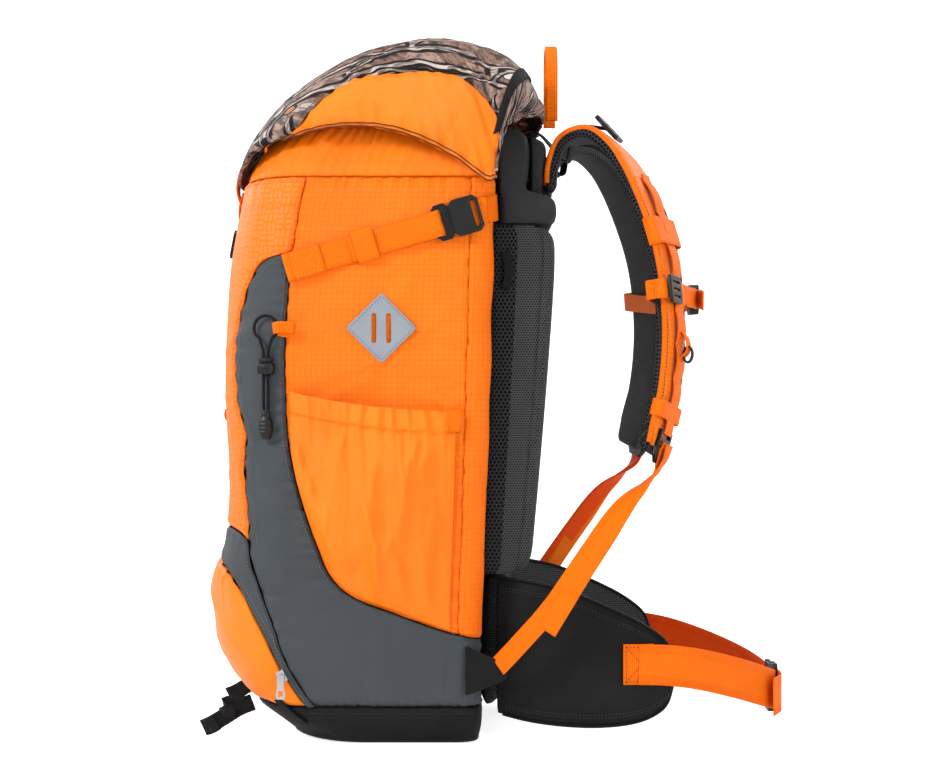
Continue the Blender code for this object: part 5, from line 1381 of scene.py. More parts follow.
def makeLashTab(name, side):
    y, z = lashTab["at"]
    r, (w, h), gap = lashTab["reach"], lashTab["slot"], lashTab["slotGap"]
    loops = [roundedLoop([(r, 0), (0, r), (-r, 0), (0, -r)], 0.0035)]
    for shift in (-gap, gap):
        loops.append(roundedLoop([(shift - w, -h), (shift + w, -h), (shift + w, h), (shift - w, h)], 0.0024))
    plate = platePiece(f"lash_tab_{name}", loops, lashTab["thick"], "reflective")
    at = (side * (halfWidth(z) + 0.0030), y, z)
    layOn(plate, at, (0, side, 0), (side, 0, 0))
    settle(plate, "pack", slot="grey_cloth")
    ring = np.array(roundedLoop([(r - 0.0028, 0), (0, r - 0.0028), (-r + 0.0028, 0), (0, -r + 0.0028)], 0.003))
    ring = np.concatenate([ring, ring[:1]])
    stitch("pack", "greyThread", np.stack([np.full(len(ring), side * (halfWidth(z) + 0.0042)), y + side * ring[:, 0], z + ring[:, 1]], axis=1))


toolLoop = {"y": -0.130, "top": 0.400, "lock": 0.352, "pull": 0.312, "gap": 0.0022, "cord": 0.0030, "out": 0.0062, "ring": 0.0115,
    "tab": [(0.022, 0.0150, -0.0040), (0.014, 0.0140, -0.0030), (0.0125, 0.0130, -0.0020), (0.0080, 0.0120, 0.0020), (0.0125, 0.0110, 0.0030), (0.019, 0.0110, -0.0012), (0.027, 0.0120, -0.0036)],
}


def loopSurface(z):
    t = turnAt(toolLoop["y"], z)
    p = bagPoint(t, z)
    return p, unit(bagPoint(t, z, 0.01) - p)


def makeToolLoop(name, side):
    _, face = loopSurface(toolLoop["lock"])
    across = np.array([face[1], -face[0], 0])
    mirror = np.array([side, 1, 1])

    def at(shift, z):
        p, n = loopSurface(z)
        return p + n * toolLoop["out"] + across * shift

    up = np.linspace(toolLoop["pull"] + 0.001, toolLoop["lock"] + 0.012, 5)
    r = toolLoop["ring"]
    route = [at(-toolLoop["gap"], z) for z in up]
    route += [at(-r * math.cos(a), toolLoop["top"] - r + r * math.sin(a)) for a in np.linspace(-0.32 * math.pi, 1.32 * math.pi, 13)]
    route += [at(toolLoop["gap"], z) for z in up[::-1]]
    route = smoothPath(route, 150) * mirror
    cord = tubePiece(f"tool_elastic_{name}", route, face * mirror, oval(toolLoop["cord"] / 2, toolLoop["cord"] / 2, 10), "cord", uvTurn=True)
    settle(cord, "pack", f"bungee_cord_{name}", slot="black_cord")
    # moulded end pull with a waist and finger ribs
    p, n = loopSurface(toolLoop["pull"] - 0.0125)
    heights = np.linspace(-0.0135, 0.0130, 34)
    rings = []
    for k, h in enumerate(heights):
        f = (h + 0.0135) / 0.0265
        wide = 0.0068 * (1 - 0.30 * math.exp(-(((f - 0.80) / 0.16) ** 2))) * math.sin(math.pi * min(1, max(0.06, f * 0.97 + 0.03))) ** 0.28
        rib = 0.0004 * math.cos(h * math.tau / 0.0036) * (1 if 0.2 < f < 0.65 else 0)
        rings.append(softBox(wide + rib, 0.0050 * (wide / 0.0068) + rib, 2.8, 18))
    path = np.stack([p + n * toolLoop["out"] + np.array([0, 0, h]) for h in heights])
    pull = tubePiece(f"tool_pull_{name}", path * mirror, across * mirror, np.array(rings), "plastic")
    settle(pull, "pack", f"bungee_pull_{name}", slot="black_plastic")
    # cord lock: barrel, plunger and its spring gap
    p, n = loopSurface(toolLoop["lock"])
    middle = p + n * toolLoop["out"]
    pieces = []
    for low, high, wide, deep in ((-0.0062, 0.0040, 0.0085, 0.0056), (0.0040, 0.0052, 0.0052, 0.0036), (0.0052, 0.0090, 0.0070, 0.0048)):
        line = np.array([middle + np.array([0, 0, z]) for z in np.linspace(low, high, 8)])
        ease = 1 - 0.16 * (np.abs(np.linspace(-1, 1, 8)) ** 6)
        shape = np.array([softBox(wide * e, deep * e, 3.2, 20) for e in ease])
        pieces.append(tubePiece("lockPart", line * mirror, across * mirror, shape, "plastic"))
    settle(join(f"cord_lock_shell_{name}", pieces), f"cord_lock_{name}", f"cord_lock_{name}", slot="black_plastic")
    # orange anchor tab over the top of the loop
    p, n = loopSurface(toolLoop["top"] - 0.010)
    tab = [at(-shift, toolLoop["top"] - drop) + n * lift for shift, drop, lift in toolLoop["tab"]]
    settle(webbing(f"tool_tab_{name}", np.array(tab) * mirror, (0, 0, 1), 0.011, thick=0.0014), "pack", slot="orange_webbing")


for name, side in (("right", 1.0), ("left", -1.0)):
    makeSidePocket(name, side)
    makeSideStrap(name, side)
    makeLashTab(name, side)
    makeToolLoop(name, side)
print("pockets, side straps and tool loops are on")

# ---- back system: yoke, pads, lumbar
back = {
    "yoke": [  # height, half width, near the bag, outer face
        (0.4885, 0.119, 0.0805, 0.1330), (0.4930, 0.122, 0.0808, 0.1375), (0.5030, 0.122, 0.0808, 0.1395),
        (0.5120, 0.121, 0.0806, 0.1370), (0.5165, 0.120, 0.0806, 0.1260), (0.5200, 0.119, 0.0806, 0.1130),
        (0.5350, 0.117, 0.0806, 0.1135), (0.5550, 0.112, 0.0804, 0.1140), (0.5720, 0.104, 0.0780, 0.1125), (0.5795, 0.099, 0.0772, 0.1060),
    ],
    "roll": [(0.5200, 0.094, 0.1125, 0.1215), (0.5235, 0.096, 0.1125, 0.1270), (0.5400, 0.096, 0.1125, 0.1290), (0.5600, 0.095, 0.1125, 0.1300), (0.5680, 0.092, 0.1125, 0.1280), (0.5720, 0.090, 0.1125, 0.1210)],
    "padFace": [(0.158, 0.106), (0.164, 0.112), (0.207, 0.117), (0.322, 0.127), (0.417, 0.134), (0.464, 0.136), (0.481, 0.134), (0.487, 0.127)],
    "padInner": 0.0205,
    "padOuter": 0.1175,
    "padThick": 0.0175,
    "lumbar": [
        (0.0310, 0.090, 0.0675, 0.0800), (0.0400, 0.094, 0.0672, 0.0870), (0.0600, 0.097, 0.0675, 0.0915),
        (0.1100, 0.097, 0.0690, 0.0958), (0.1450, 0.095, 0.0700, 0.0955), (0.1550, 0.090, 0.0705, 0.0900),
    ],
}


def boxProject(obj, finishScale=1.0):
    # cut coordinates from the side that each face looks to
    mesh = obj.data
    layer = mesh.uv_layers.get("cut") or mesh.uv_layers.new(name="cut")
    points = np.empty(len(mesh.vertices) * 3)
    mesh.vertices.foreach_get("co", points)
    points = points.reshape(-1, 3)
    loops = np.empty(len(mesh.loops), int)
    mesh.loops.foreach_get("vertex_index", loops)
    starts, totals, normals = (np.empty(len(mesh.polygons) * n) for n in (1, 1, 3))
    mesh.polygons.foreach_get("loop_total", totals)
    mesh.polygons.foreach_get("normal", normals)
    main = np.abs(normals.reshape(-1, 3)).argmax(axis=1)
    main = np.repeat(main, totals.astype(int))
    p = points[loops]
    uv = np.where((main == 0)[:, None], p[:, [1, 2]], np.where((main == 1)[:, None], p[:, [0, 2]], p[:, [0, 1]]))
    layer.data.foreach_set("uv", (uv * finishScale).astype(np.float32).reshape(-1))


def loftBlock(name, sections, power, finish, count=64, levels=60, swell=0.0, seed=0):
    # a soft block through (height, half width, near y, far y), rounded in plan
    places = np.array(sections, float)
    zs = np.linspace(places[0, 0], places[-1, 0], levels)
    w, near, far = (follow(list(zip(places[:, 0], places[:, k])), zs) for k in (1, 2, 3))
    ring = softBox(1.0, 1.0, power, count)
    rows = np.stack([ring[None, :, 0] * w[:, None], (near + far)[:, None] / 2 + ring[None, :, 1] * (far - near)[:, None] / 2, np.repeat(zs[:, None], count, axis=1)], axis=-1)
    if swell:
        outer = np.clip(ring[:, 1], 0, 1)[None, :]
        rows[..., 1] += swell * outer * rolling(rows[..., 0], rows[..., 2], seed, 0.05)
    n = levels * count
    i, j = np.meshgrid(np.arange(levels - 1), np.arange(count), indexing="ij")
    k = (j + 1) % count
    faces = np.stack([i * count + j, i * count + k, (i + 1) * count + k, (i + 1) * count + j], axis=-1).reshape(-1, 4).tolist()
    faces += [list(range(count))[::-1], list(range(n - count, n))]
    obj = makeMesh(name, rows, faces, None, finish)
    boxProject(obj)
    return obj


def plump(obj, pressure, cap, voxel=0.0045, subdivide=True):
    # stuffs a soft piece: cloth under pressure for twenty frames, then held near where it began
    finish = obj.data.materials[0]
    scene.view_layers[0].objects.active = obj
    remesh = obj.modifiers.new("even", "REMESH")
    remesh.mode, remesh.voxel_size, remesh.use_smooth_shade = "VOXEL", voxel, True
    graph = bpy.context.evaluated_depsgraph_get()
    even = bpy.data.meshes.new_from_object(obj.evaluated_get(graph), depsgraph=graph)
    obj.modifiers.clear()
    obj.data = even
    before = np.empty(len(even.vertices) * 3)
    even.vertices.foreach_get("co", before)
    before = before.reshape(-1, 3)
    soft = obj.modifiers.new("stuffing", "CLOTH")
    soft.settings.quality = 5
    soft.settings.use_pressure = True
    soft.settings.uniform_pressure_force = pressure
    soft.settings.effector_weights.gravity = 0.0
    soft.point_cache.frame_start, soft.point_cache.frame_end = 1, 20
    for number in range(1, 21):
        scene.frame_set(number)
    graph = bpy.context.evaluated_depsgraph_get()
    swollen = obj.evaluated_get(graph).to_mesh()
    after = np.empty(len(swollen.vertices) * 3)
    swollen.vertices.foreach_get("co", after)
    after = after.reshape(-1, 3)
    obj.evaluated_get(graph).to_mesh_clear()
    obj.modifiers.clear()
    scene.frame_set(1)
    moved = after - before
    far = np.linalg.norm(moved, axis=1, keepdims=True)
    after = before + moved * np.minimum(1.0, cap / np.maximum(far, 1e-9))
    even.vertices.foreach_set("co", after.astype(np.float32).reshape(-1))
    if subdivide:
        smooth = obj.modifiers.new("smooth", "SUBSURF")
        smooth.levels = smooth.render_levels = 1
        graph = bpy.context.evaluated_depsgraph_get()
        obj.data = bpy.data.meshes.new_from_object(obj.evaluated_get(graph), depsgraph=graph)
        obj.modifiers.clear()
    obj.data.shade_smooth()
    obj.data.materials.clear()
    obj.data.materials.append(finish)
    boxProject(obj)
    return obj


def makeBackSystem():
    yoke = loftBlock("yoke_canvas", back["yoke"], 7, "canvas", 96, 80, swell=0.0007, seed=5)
    settle(yoke, "pack", "yoke_panel", slot="black_cloth")
    roll = loftBlock("yoke_roll", back["roll"], 5, "canvas", 80, 50, swell=0.0006, seed=6)
    settle(roll, "pack", slot="black_cloth")
    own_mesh(roll)  # its own copy of the mesh
    for z, lift in ((0.4965, 0.0006), (0.5300, 0.0004)):
        half = np.interp(z, [s[0] for s in back["yoke"]], [s[1] for s in back["yoke"]])
        near, far = (np.interp(z, [s[0] for s in back["yoke"]], [s[k] for s in back["yoke"]]) for k in (2, 3))
        ring = softBox(half + lift, (far - near) / 2 + lift, 7, 140)
        stitch("pack", "blackThread", np.stack([ring[:, 0], (near + far) / 2 + ring[:, 1], np.full(140, z)], axis=1))
    for name, side in (("right", 1.0), ("left", -1.0)):
        zs = np.linspace(0.158, 0.487, 90)
        face = follow(back["padFace"], zs)
        a, b, deep = back["padInner"], back["padOuter"], back["padThick"]
        end = np.minimum(1, np.minimum(zs - 0.1575, 0.4875 - zs) / 0.012)
        ease = np.sqrt(np.clip(1 - (1 - end) ** 2, 0.02, 1))
        half = (b - a) / 2 * (0.86 + 0.14 * ease)
        rows = []
        for z, y, h, e in zip(zs, face, half, ease):
            ring = softBox(h, deep / 2 * (0.55 + 0.45 * e), 3.6, 56)
            rows.append(np.stack([side * ((a + b) / 2 + ring[:, 0]), y - deep / 2 + ring[:, 1], np.full(56, z)], axis=1))
        rows = np.array(rows)
        n, m = rows.shape[:2]
        i, j = np.meshgrid(np.arange(n - 1), np.arange(m), indexing="ij")
        k = (j + 1) % m
        corners = np.stack([i * m + j, i * m + k, (i + 1) * m + k, (i + 1) * m + j], axis=-1).reshape(-1, 4)
        faces = corners.tolist() + [list(range(m))[::-1], list(range((n - 1) * m, n * m))]
        if side < 0:
            faces = [f[::-1] for f in faces]
        pad = makeMesh(f"back_pad_foam_{name}", rows, faces, None, "padMesh")
        boxProject(pad)
        pad = plump(pad, 3.0, 0.0022)
        settle(pad, "pack", f"back_pad_{name}", slot="spacer_mesh")
        # open mesh wall between the pad and the bag
        f = np.linspace(0, 1, 9)[None, :]
        near = backY(zs) - 0.0016
        far = face - deep * 0.62
        wall = np.stack([np.broadcast_to(side * (b - 0.0016 + 0.0010 * np.sin(f * math.pi)), (n, 9)), near[:, None] + (far - near)[:, None] * f, np.repeat(zs[:, None], 9, axis=1)], axis=-1)
        uv = np.stack([wall[..., 1], wall[..., 2]], axis=-1)
        wall = gridPiece(f"back_mesh_wall_{name}", wall, uv, "airMesh", outwards=(side, 0, 0), thick=0.0012)
        paintFaces(wall, "padMesh", lambda at, way: at[:, 1] - np.interp(at[:, 2], zs, near) > 0.44 * np.interp(at[:, 2], zs, far - near))
        settle(wall, "pack", slot="spacer_mesh")
    lumbar = loftBlock("lumbar_foam", back["lumbar"], 4.5, "padMesh", 80, 50)
    lumbar = plump(lumbar, 3.0, 0.0018)
    settle(lumbar, "pack", "lumbar_pad", slot="black_cloth")


makeBackSystem()
print("back system is padded")

# ---- shoulder straps, their webbing and hardware
harness = {
    "line": [
        (0.062, 0.1340, 0.5215), (0.063, 0.1360, 0.5440), (0.066, 0.1480, 0.5690), (0.071, 0.1700, 0.5770), (0.078, 0.1960, 0.5600),
        (0.085, 0.2160, 0.5290), (0.092, 0.2300, 0.4960), (0.098, 0.2400, 0.4590), (0.104, 0.2450, 0.4160), (0.109, 0.2455, 0.3740),
        (0.114, 0.2410, 0.3310), (0.118, 0.2320, 0.2930), (0.120, 0.2250, 0.2720),
    ],
    "width": 0.066,
    "thick": 0.013,
    "twist": 25,  # degrees that the face turns outwards
    "webWidth": 0.025,
    "lockAt": 15,
    "lifterAt": 4,
    "sternumAt": 10,
}
strapSteps = 16


def strapPath(count):
    path = smoothPath(harness["line"], strapSteps + 1)
    f = np.minimum(1.0, np.arange(strapSteps + 1) / 7)
    turn = math.radians(harness["twist"]) * f * f * (3 - 2 * f)
    across = np.stack([np.cos(turn), -np.sin(turn), 0 * turn], axis=1)
    return smoothPath(path, count), unit(resample(across, count))


def strapAxes(i):
    # middle, ahead, across and outwards at one of the strap's coarse points, on the right side
    path = smoothPath(harness["line"], strapSteps + 1)
    f = min(1.0, i / 7)
    turn = math.radians(harness["twist"]) * f * f * (3 - 2 * f)
    ahead = unit(path[min(i + 1, strapSteps)] - path[max(i - 1, 0)])
    across = np.array([math.cos(turn), -math.sin(turn), 0])
    across = unit(across - ahead * (across @ ahead))
    out = np.cross(across, ahead)
    return path[i], ahead, across, out if out @ np.array([0, 1, 0.8]) > 0 else -out


def strapHalf(f):
    wide = np.where(f < 0.9, 0.80 + 0.20 * np.sin(math.pi * np.minimum(1, 0.25 + f)) ** 2, 0.62 + 0.38 * (1 - f) / 0.1)
    return harness["width"] / 2 * wide


def makeShoulder(name, side):
    mirror = np.array([side, 1, 1])
    count = 150
    path, across = strapPath(count)
    f = np.linspace(0, 1, count)
    half = np.convolve(np.pad(strapHalf(f), 5, mode="edge"), np.ones(11) / 11, mode="valid")
    thick = harness["thick"]
    end = np.sqrt(np.clip(1 - (1 - np.minimum(1, np.minimum(f, 1 - f) / 0.02)) ** 2, 0.08, 1))
    body = f"shoulder_{name}"
    foam = np.array([softBox(h * (0.93 + 0.07 * e), thick / 2 * e * 0.96, 4.2, 44) for h, e in zip(half, end)])
    ahead, a, out = frames(path, across)
    if out[60] @ np.array([0, 1, 0.3]) < 0:
        out = -out
    core = tubePiece(f"strap_foam_{name}", path * mirror, a * mirror, foam, "padMesh", uvTurn=True)
    paintFaces(core, "airMesh", lambda at, way: np.minimum(np.arange(len(at)) % 44, 43 - np.arange(len(at)) % 44) < 5)  # open mesh along the edge
    settle(core, body, f"shoulder_strap_{name}", slot="spacer_mesh")

    def face(label, f0, f1, share, lift, finish, cloth=0.0012, crown=0.0012, ripple=0.0, seed=0):
        # a cloth strip over the outer side of the strap
        rows = np.linspace(f0 * (count - 1), f1 * (count - 1), max(12, int((f1 - f0) * 200)))
        pick = lambda field: np.stack([np.interp(rows, np.arange(count), field[:, k]) for k in range(3)], axis=1)
        p, s, o, h = pick(path), pick(a), pick(out), np.interp(rows, np.arange(count), half)
        c = np.linspace(-1, 1, 23)[None, :]
        rise = thick / 2 * 0.96 + lift + crown * (1 - np.abs(c) ** 2.5) - 0.0045 * np.abs(c) ** 12
        run = np.concatenate([[0], np.cumsum(np.linalg.norm(np.diff(p, axis=0), axis=1))])[:, None]
        if ripple:
            rise = rise + ripple * rolling(run + 0 * c, c * h[:, None], seed, 0.03)
        grid = p[:, None] + s[:, None] * (c * share * h[:, None])[..., None] + o[:, None] * (rise + 0 * h[:, None])[..., None]
        uv = np.stack(np.broadcast_arrays(run, c * h[:, None]), axis=-1)
        piece = gridPiece(f"{label}_{name}", grid * mirror, uv, finish, outwards=(o * mirror)[:, None], thick=cloth)
        settle(piece, body, slot="orange_ripstop" if "range" in finish or finish in ("ripstop", "taffeta") else "black_cloth")
        normals = gridNormals(grid * mirror)
        return grid * mirror, normals if (normals * (o * mirror)[:, None]).sum() > 0 else -normals

    face("strap_canvas", 0.015, 0.27, 0.96, 0.0006, "ripstop")
    cover = face("strap_cover", 0.262, 0.985, 0.93, 0.0008, "ripstop", ripple=0.0005, seed=91)
    stitch(body, "darkThread", beside(cover, "left", 0.0040))
    stitch(body, "darkThread", beside(cover, "right", 0.0040))
    # bound edges
    for label, s, finish in (("outer", 1.0, "webbing"), ("inner", -1.0, "blackWeb")):
        rim = path + a * (half * 0.955)[:, None] * s + out * (thick * 0.30)
        piping = tubePiece(f"strap_binding_{label}_{name}", rim[3:-3] * mirror, a[3:-3] * mirror, oval(0.0017, 0.0028, 10), finish, uvTurn=True)
        settle(piping, body, slot="orange_webbing" if finish == "webbing" else "black_cloth")
    # ladder of webbing down the middle, sewn at intervals so that it stands in loops
    rows = np.arange(count)
    rungs = np.linspace(0.36, 0.90, 8)
    run = np.linspace(0.345, 0.95, 150)
    stand = 0.0030 + 0.0026 * np.abs(np.sin((run - 0.36) / (rungs[1] - rungs[0]) * math.pi)) ** 0.7
    pick = lambda field, at: np.stack([np.interp(at * (count - 1), rows, field[:, k]) for k in range(3)], axis=1)
    line = pick(path, run) + pick(out, run) * (thick / 2 + stand)[:, None]
    daisy = webbing(f"strap_ladder_web_{name}", line * mirror, pick(a, run) * mirror, 0.022, thick=0.0015, raw=True)
    settle(daisy, body, slot="orange_webbing")
    for at in rungs:
        p, s, o, d = (pick(field, np.array([at]))[0] for field in (path, a, out, ahead))
        for shift in (-0.0012, 0.0012):
            c = p + o * (thick / 2 + 0.0044) + d * shift
            stitch(body, "orangeThread", np.linspace((c - s * 0.0095) * mirror, (c + s * 0.0095) * mirror, 5))
    # broad keeper bands over the face of the strap
    for label, at, wide in (("upper", 0.485, 0.027), ("lower", 0.900, 0.016)):
        p, s, o, d = (pick(field, np.array([at]))[0] for field in (path, a, out, ahead))
        h = float(np.interp(at * (count - 1), rows, half))
        ring = softBox(h + 0.0012, thick / 2 + 0.0052, 6, 60)[:31]
        loop = np.array([p + s * x + o * y for x, y in ring])
        band = tubePiece(f"strap_band_{label}_{name}", loop * mirror, d * mirror, flatSection(wide, 0.0013), "webbing")
        settle(band, body, slot="orange_webbing")
    # small accessory clip hanging on its tab
    p, s, o, d = (pick(field, np.array([0.765]))[0] for field in (path, a, out, ahead))
    tab = [p + o * (thick / 2 + 0.0030) - d * 0.024, p + o * (thick / 2 + 0.0110) - d * 0.014, p + o * (thick / 2 + 0.0120) - d * 0.002, p + o * (thick / 2 + 0.0040) + d * 0.006]
    settle(webbing(f"strap_clip_tab_{name}", np.array(tab) * mirror, s * mirror, 0.011, thick=0.0014), body, slot="orange_webbing")
    ring = np.array([p + o * (thick / 2 + 0.0125 + 0.0042 * math.sin(q)) + d * (0.0005 + 0.0075 * math.cos(q)) for q in np.linspace(0, math.tau, 25)])
    settle(tubePiece(f"strap_clip_{name}", ring * mirror, s * mirror, oval(0.0030, 0.0012, 8), "plastic", uvTurn=True), body, slot="black_plastic")


def refined(node, label, bevel=0.0006, finish="plastic", slot="black_plastic"):
    # the frame's own hard piece with eased edges
    mesh = frame["nodes"][node].data.copy()
    work = bmesh.new()
    work.from_mesh(mesh)
    bmesh.ops.remove_doubles(work, verts=work.verts, dist=2e-6)
    bmesh.ops.dissolve_limit(work, angle_limit=math.radians(1.5), verts=work.verts, edges=work.edges)
    sharp = [e for e in work.edges if len(e.link_faces) == 2 and e.calc_face_angle(0) > math.radians(25)]
    bmesh.ops.bevel(work, geom=sharp, offset=bevel, segments=2, profile=0.6, affect="EDGES", clamp_overlap=True)
    bmesh.ops.triangulate(work, faces=[f for f in work.faces if len(f.verts) > 4])
    work.to_mesh(mesh)
    work.free()
    mesh.shade_smooth()
    mesh.set_sharp_from_angle(angle=math.radians(35))
    mesh.materials.clear()
    mesh.materials.append(finishes[finish])
    obj = bpy.data.objects.new(label, mesh)
    scene.collection.objects.link(obj)
    body = frame["nodes"][node].parent.name
    names = [key for key, empty in frame["bodies"].items() if empty == frame["nodes"][node].parent]
    return settle(obj, names[0] if names else body, node, slot=slot)


def strapWebbing(name, side):
    mirror = np.array([side, 1, 1])
    p, ahead, across, out = strapAxes(harness["lockAt"])
    lift = harness["thick"] / 2 + 0.004
    top = p + ahead * 0.0415 + out * lift
    reach = 0.163
    line = [
        (halfWidth(0.068) + 0.0072, 0.083, 0.0755), (reach - 0.004, 0.100, 0.0950), (reach, 0.132, 0.132), (reach - 0.008, 0.166, 0.180),
        (reach - 0.019, 0.196, 0.220), tuple(top), tuple(p + ahead * 0.022 + out * (lift + 0.0016)), tuple(p + ahead * 0.013 + out * (lift + 0.0038)),
    ]
    path = smoothPath(line, 130)
    flat = np.array([0.50, 0.54, -0.68])
    sideways = flat + (across - flat) * np.clip((np.linspace(0, 1, 130) - 0.62) / 0.3, 0, 1)[:, None] ** 1.5
    # the left side takes the darker copy of the webbing: painted shade
    main = webbing(f"adjuster_webbing_{name}", path * mirror, sideways * mirror, 0.0200, "webbing" if side > 0 else "shadedWebbing", raw=True)
    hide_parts(f"adjuster_strap_{name}")
    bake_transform(main)
    # free tail folded on itself at its end, hanging beside the webbing
    tail = [tuple(p + ahead * 0.014 + out * (lift + 0.0062)), tuple(p + ahead * 0.030 + out * (lift + 0.0050)), (0.1455, 0.204, 0.226), (0.1560, 0.176, 0.186), (0.1645, 0.147, 0.142), (0.1670, 0.133, 0.119), (0.1672, 0.1275, 0.110)]
    tailPath = smoothPath(tail, 80)
    end = webbing(f"adjuster_tail_{name}", tailPath * mirror, (across + (flat - across) * np.clip(np.linspace(0, 1, 80) * 2, 0, 1)[:, None]) * mirror, 0.0190, raw=True)
    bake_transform(end)
    folded = smoothPath([tailPath[-16], tailPath[-8], tailPath[-1]], 14) + np.array([0.0022, 0, 0])
    fold = webbing(f"adjuster_fold_{name}", folded * mirror, flat * mirror, 0.0190, raw=True)
    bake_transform(fold)
    # load lifter from the top of the bag to its lock
    q, forwards, broad, outer = strapAxes(harness["lifterAt"])
    lock = q + outer * (harness["thick"] / 2 + 0.0046)
    lifter = [(0.066, 0.1135, 0.5730), (0.067, 0.1230, 0.5790)]
    for step in (1.6, 2.4):
        a, b = strapAxes(int(step)), strapAxes(int(step) + 1)
        lifter.append(tuple(a[0] + (b[0] - a[0]) * (step % 1) + b[3] * (harness["thick"] / 2 + 0.0040)))
    lifter += [tuple(lock - forwards * 0.016 + outer * 0.0012), tuple(lock - forwards * 0.009 + outer * 0.0022)]
    path = smoothPath(lifter, 60)
    piece = webbing(f"lifter_webbing_{name}", path * mirror, broad * mirror, 0.0195, "blackWeb", raw=True)
    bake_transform(piece)
    # black anchor wedge at the corner of the bag
    wedge = platePiece(f"corner_tab_{name}", [roundedLoop([(-0.026, -0.022), (0.012, -0.007), (0.012, 0.007), (-0.026, 0.024)], 0.003)], 0.0030, "black")
    layOn(wedge, (side * (halfWidth(0.068) + 0.0042), 0.0790, 0.070), (0, side, 0), (side, 0, 0))
    boxProject(wedge)
    settle(wedge, "pack", slot="black_cloth")
    # little black hanger high on the side of the back panel
    hang = [(0.1180, 0.0900, 0.4620), (0.1196, 0.0930, 0.4480), (0.1204, 0.0925, 0.4360), (0.1185, 0.0900, 0.4260)]
    settle(webbing(f"back_hanger_{name}", np.array(hang) * mirror, (0, 1, 0), 0.0095, "blackWeb", thick=0.0016), "pack", slot="black_cloth")


def makeSternum():
    p, _, across, out = strapAxes(harness["sternumAt"])
    start = p - across * harness["width"] * 0.1 + out * (harness["thick"] / 2 + 0.0018 + 0.0008)
    edge = start - across * harness["width"] * 0.45
    middle = np.array([0, edge[1] + 0.010, edge[2]])
    up = np.array([0, 0, 1.0])
    for name, side, reach in (("right", 1.0, 0.028), ("left", -1.0, 0.017)):
        mirror = np.array([side, 1, 1])
        end = np.array([reach - 0.0042, middle[1], middle[2]])
        line = [start + across * 0.004, start, (start + edge) / 2 + out * 0.001, edge, edge + (end - edge) * 0.3 + (0, 0.0022, 0), edge + (end - edge) * 0.6 + (0, 0.0030, 0), end + (0.006, 0.001, 0), end]
        web = webbing(f"sternum_webbing_{name}", np.array(line) * mirror, up, 0.0195)
        settle(web, f"sternum_{name}", f"sternum_strap_{name}", slot="orange_webbing")
        tail = [end - (0.001, -0.0022, 0), end + (0.010, 0.0032, 0), end + (0.028, 0.0044, -0.0015), end + (0.040, 0.0042, -0.003)]
        settle(webbing(f"sternum_tail_{name}", np.array(tail) * mirror, up, 0.0190), f"sternum_{name}", slot="orange_webbing")
        # band round the shoulder strap that the sternum webbing is held by, and its slide
        h, t = harness["width"] / 2, harness["thick"]
        _, ahead, _, _ = strapAxes(harness["sternumAt"])
        ring = softBox(h + 0.0030, t / 2 + 0.0042, 6, 60)
        loop = np.array([p + across * x + out * y for x, y in np.concatenate([ring, ring[:1]])])
        band = tubePiece(f"sternum_band_{name}", loop * mirror, ahead * mirror, flatSection(0.0185, 0.0013), "webbing")
        settle(band, f"shoulder_{name}", slot="orange_webbing")
        slide = platePiece(f"sternum_slide_{name}", [roundedLoop([(-0.0135, -0.0125), (0.0135, -0.0125), (0.0135, 0.0125), (-0.0135, 0.0125)], 0.003), *[roundedLoop([(-0.0098, y - 0.0018), (0.0098, y - 0.0018), (0.0098, y + 0.0018), (-0.0098, y + 0.0018)], 0.0014) for y in (-0.0068, 0.0, 0.0068)]], 0.0036, "plastic", 0.0006)
        layOn(slide, (p + across * h * 0.52 + out * (t / 2 + 0.0072)) * mirror, across * mirror, out * mirror)
        settle(slide, f"shoulder_{name}", slot="black_plastic")


# ---- hip belt
belt = {
    "stations": [  # x, y, lower and upper edge
        (0.114, 0.082, 0.026, 0.154), (0.128, 0.112, 0.021, 0.151), (0.137, 0.148, 0.018, 0.143), (0.140, 0.184, 0.018, 0.129),
        (0.136, 0.216, 0.022, 0.114), (0.131, 0.238, 0.032, 0.099), (0.127, 0.250, 0.048, 0.084),
    ],
    "thick": 0.011,
    "root": (0.1385, 0.214, 0.076),
    "buckle": (0.356, 0.037),
    "line": [(0.1340, 0.240, 0.0745), (0.1220, 0.272, 0.069), (0.0980, 0.312, 0.057), (0.0640, 0.343, 0.044)],
    "webWidth": 0.038,
}


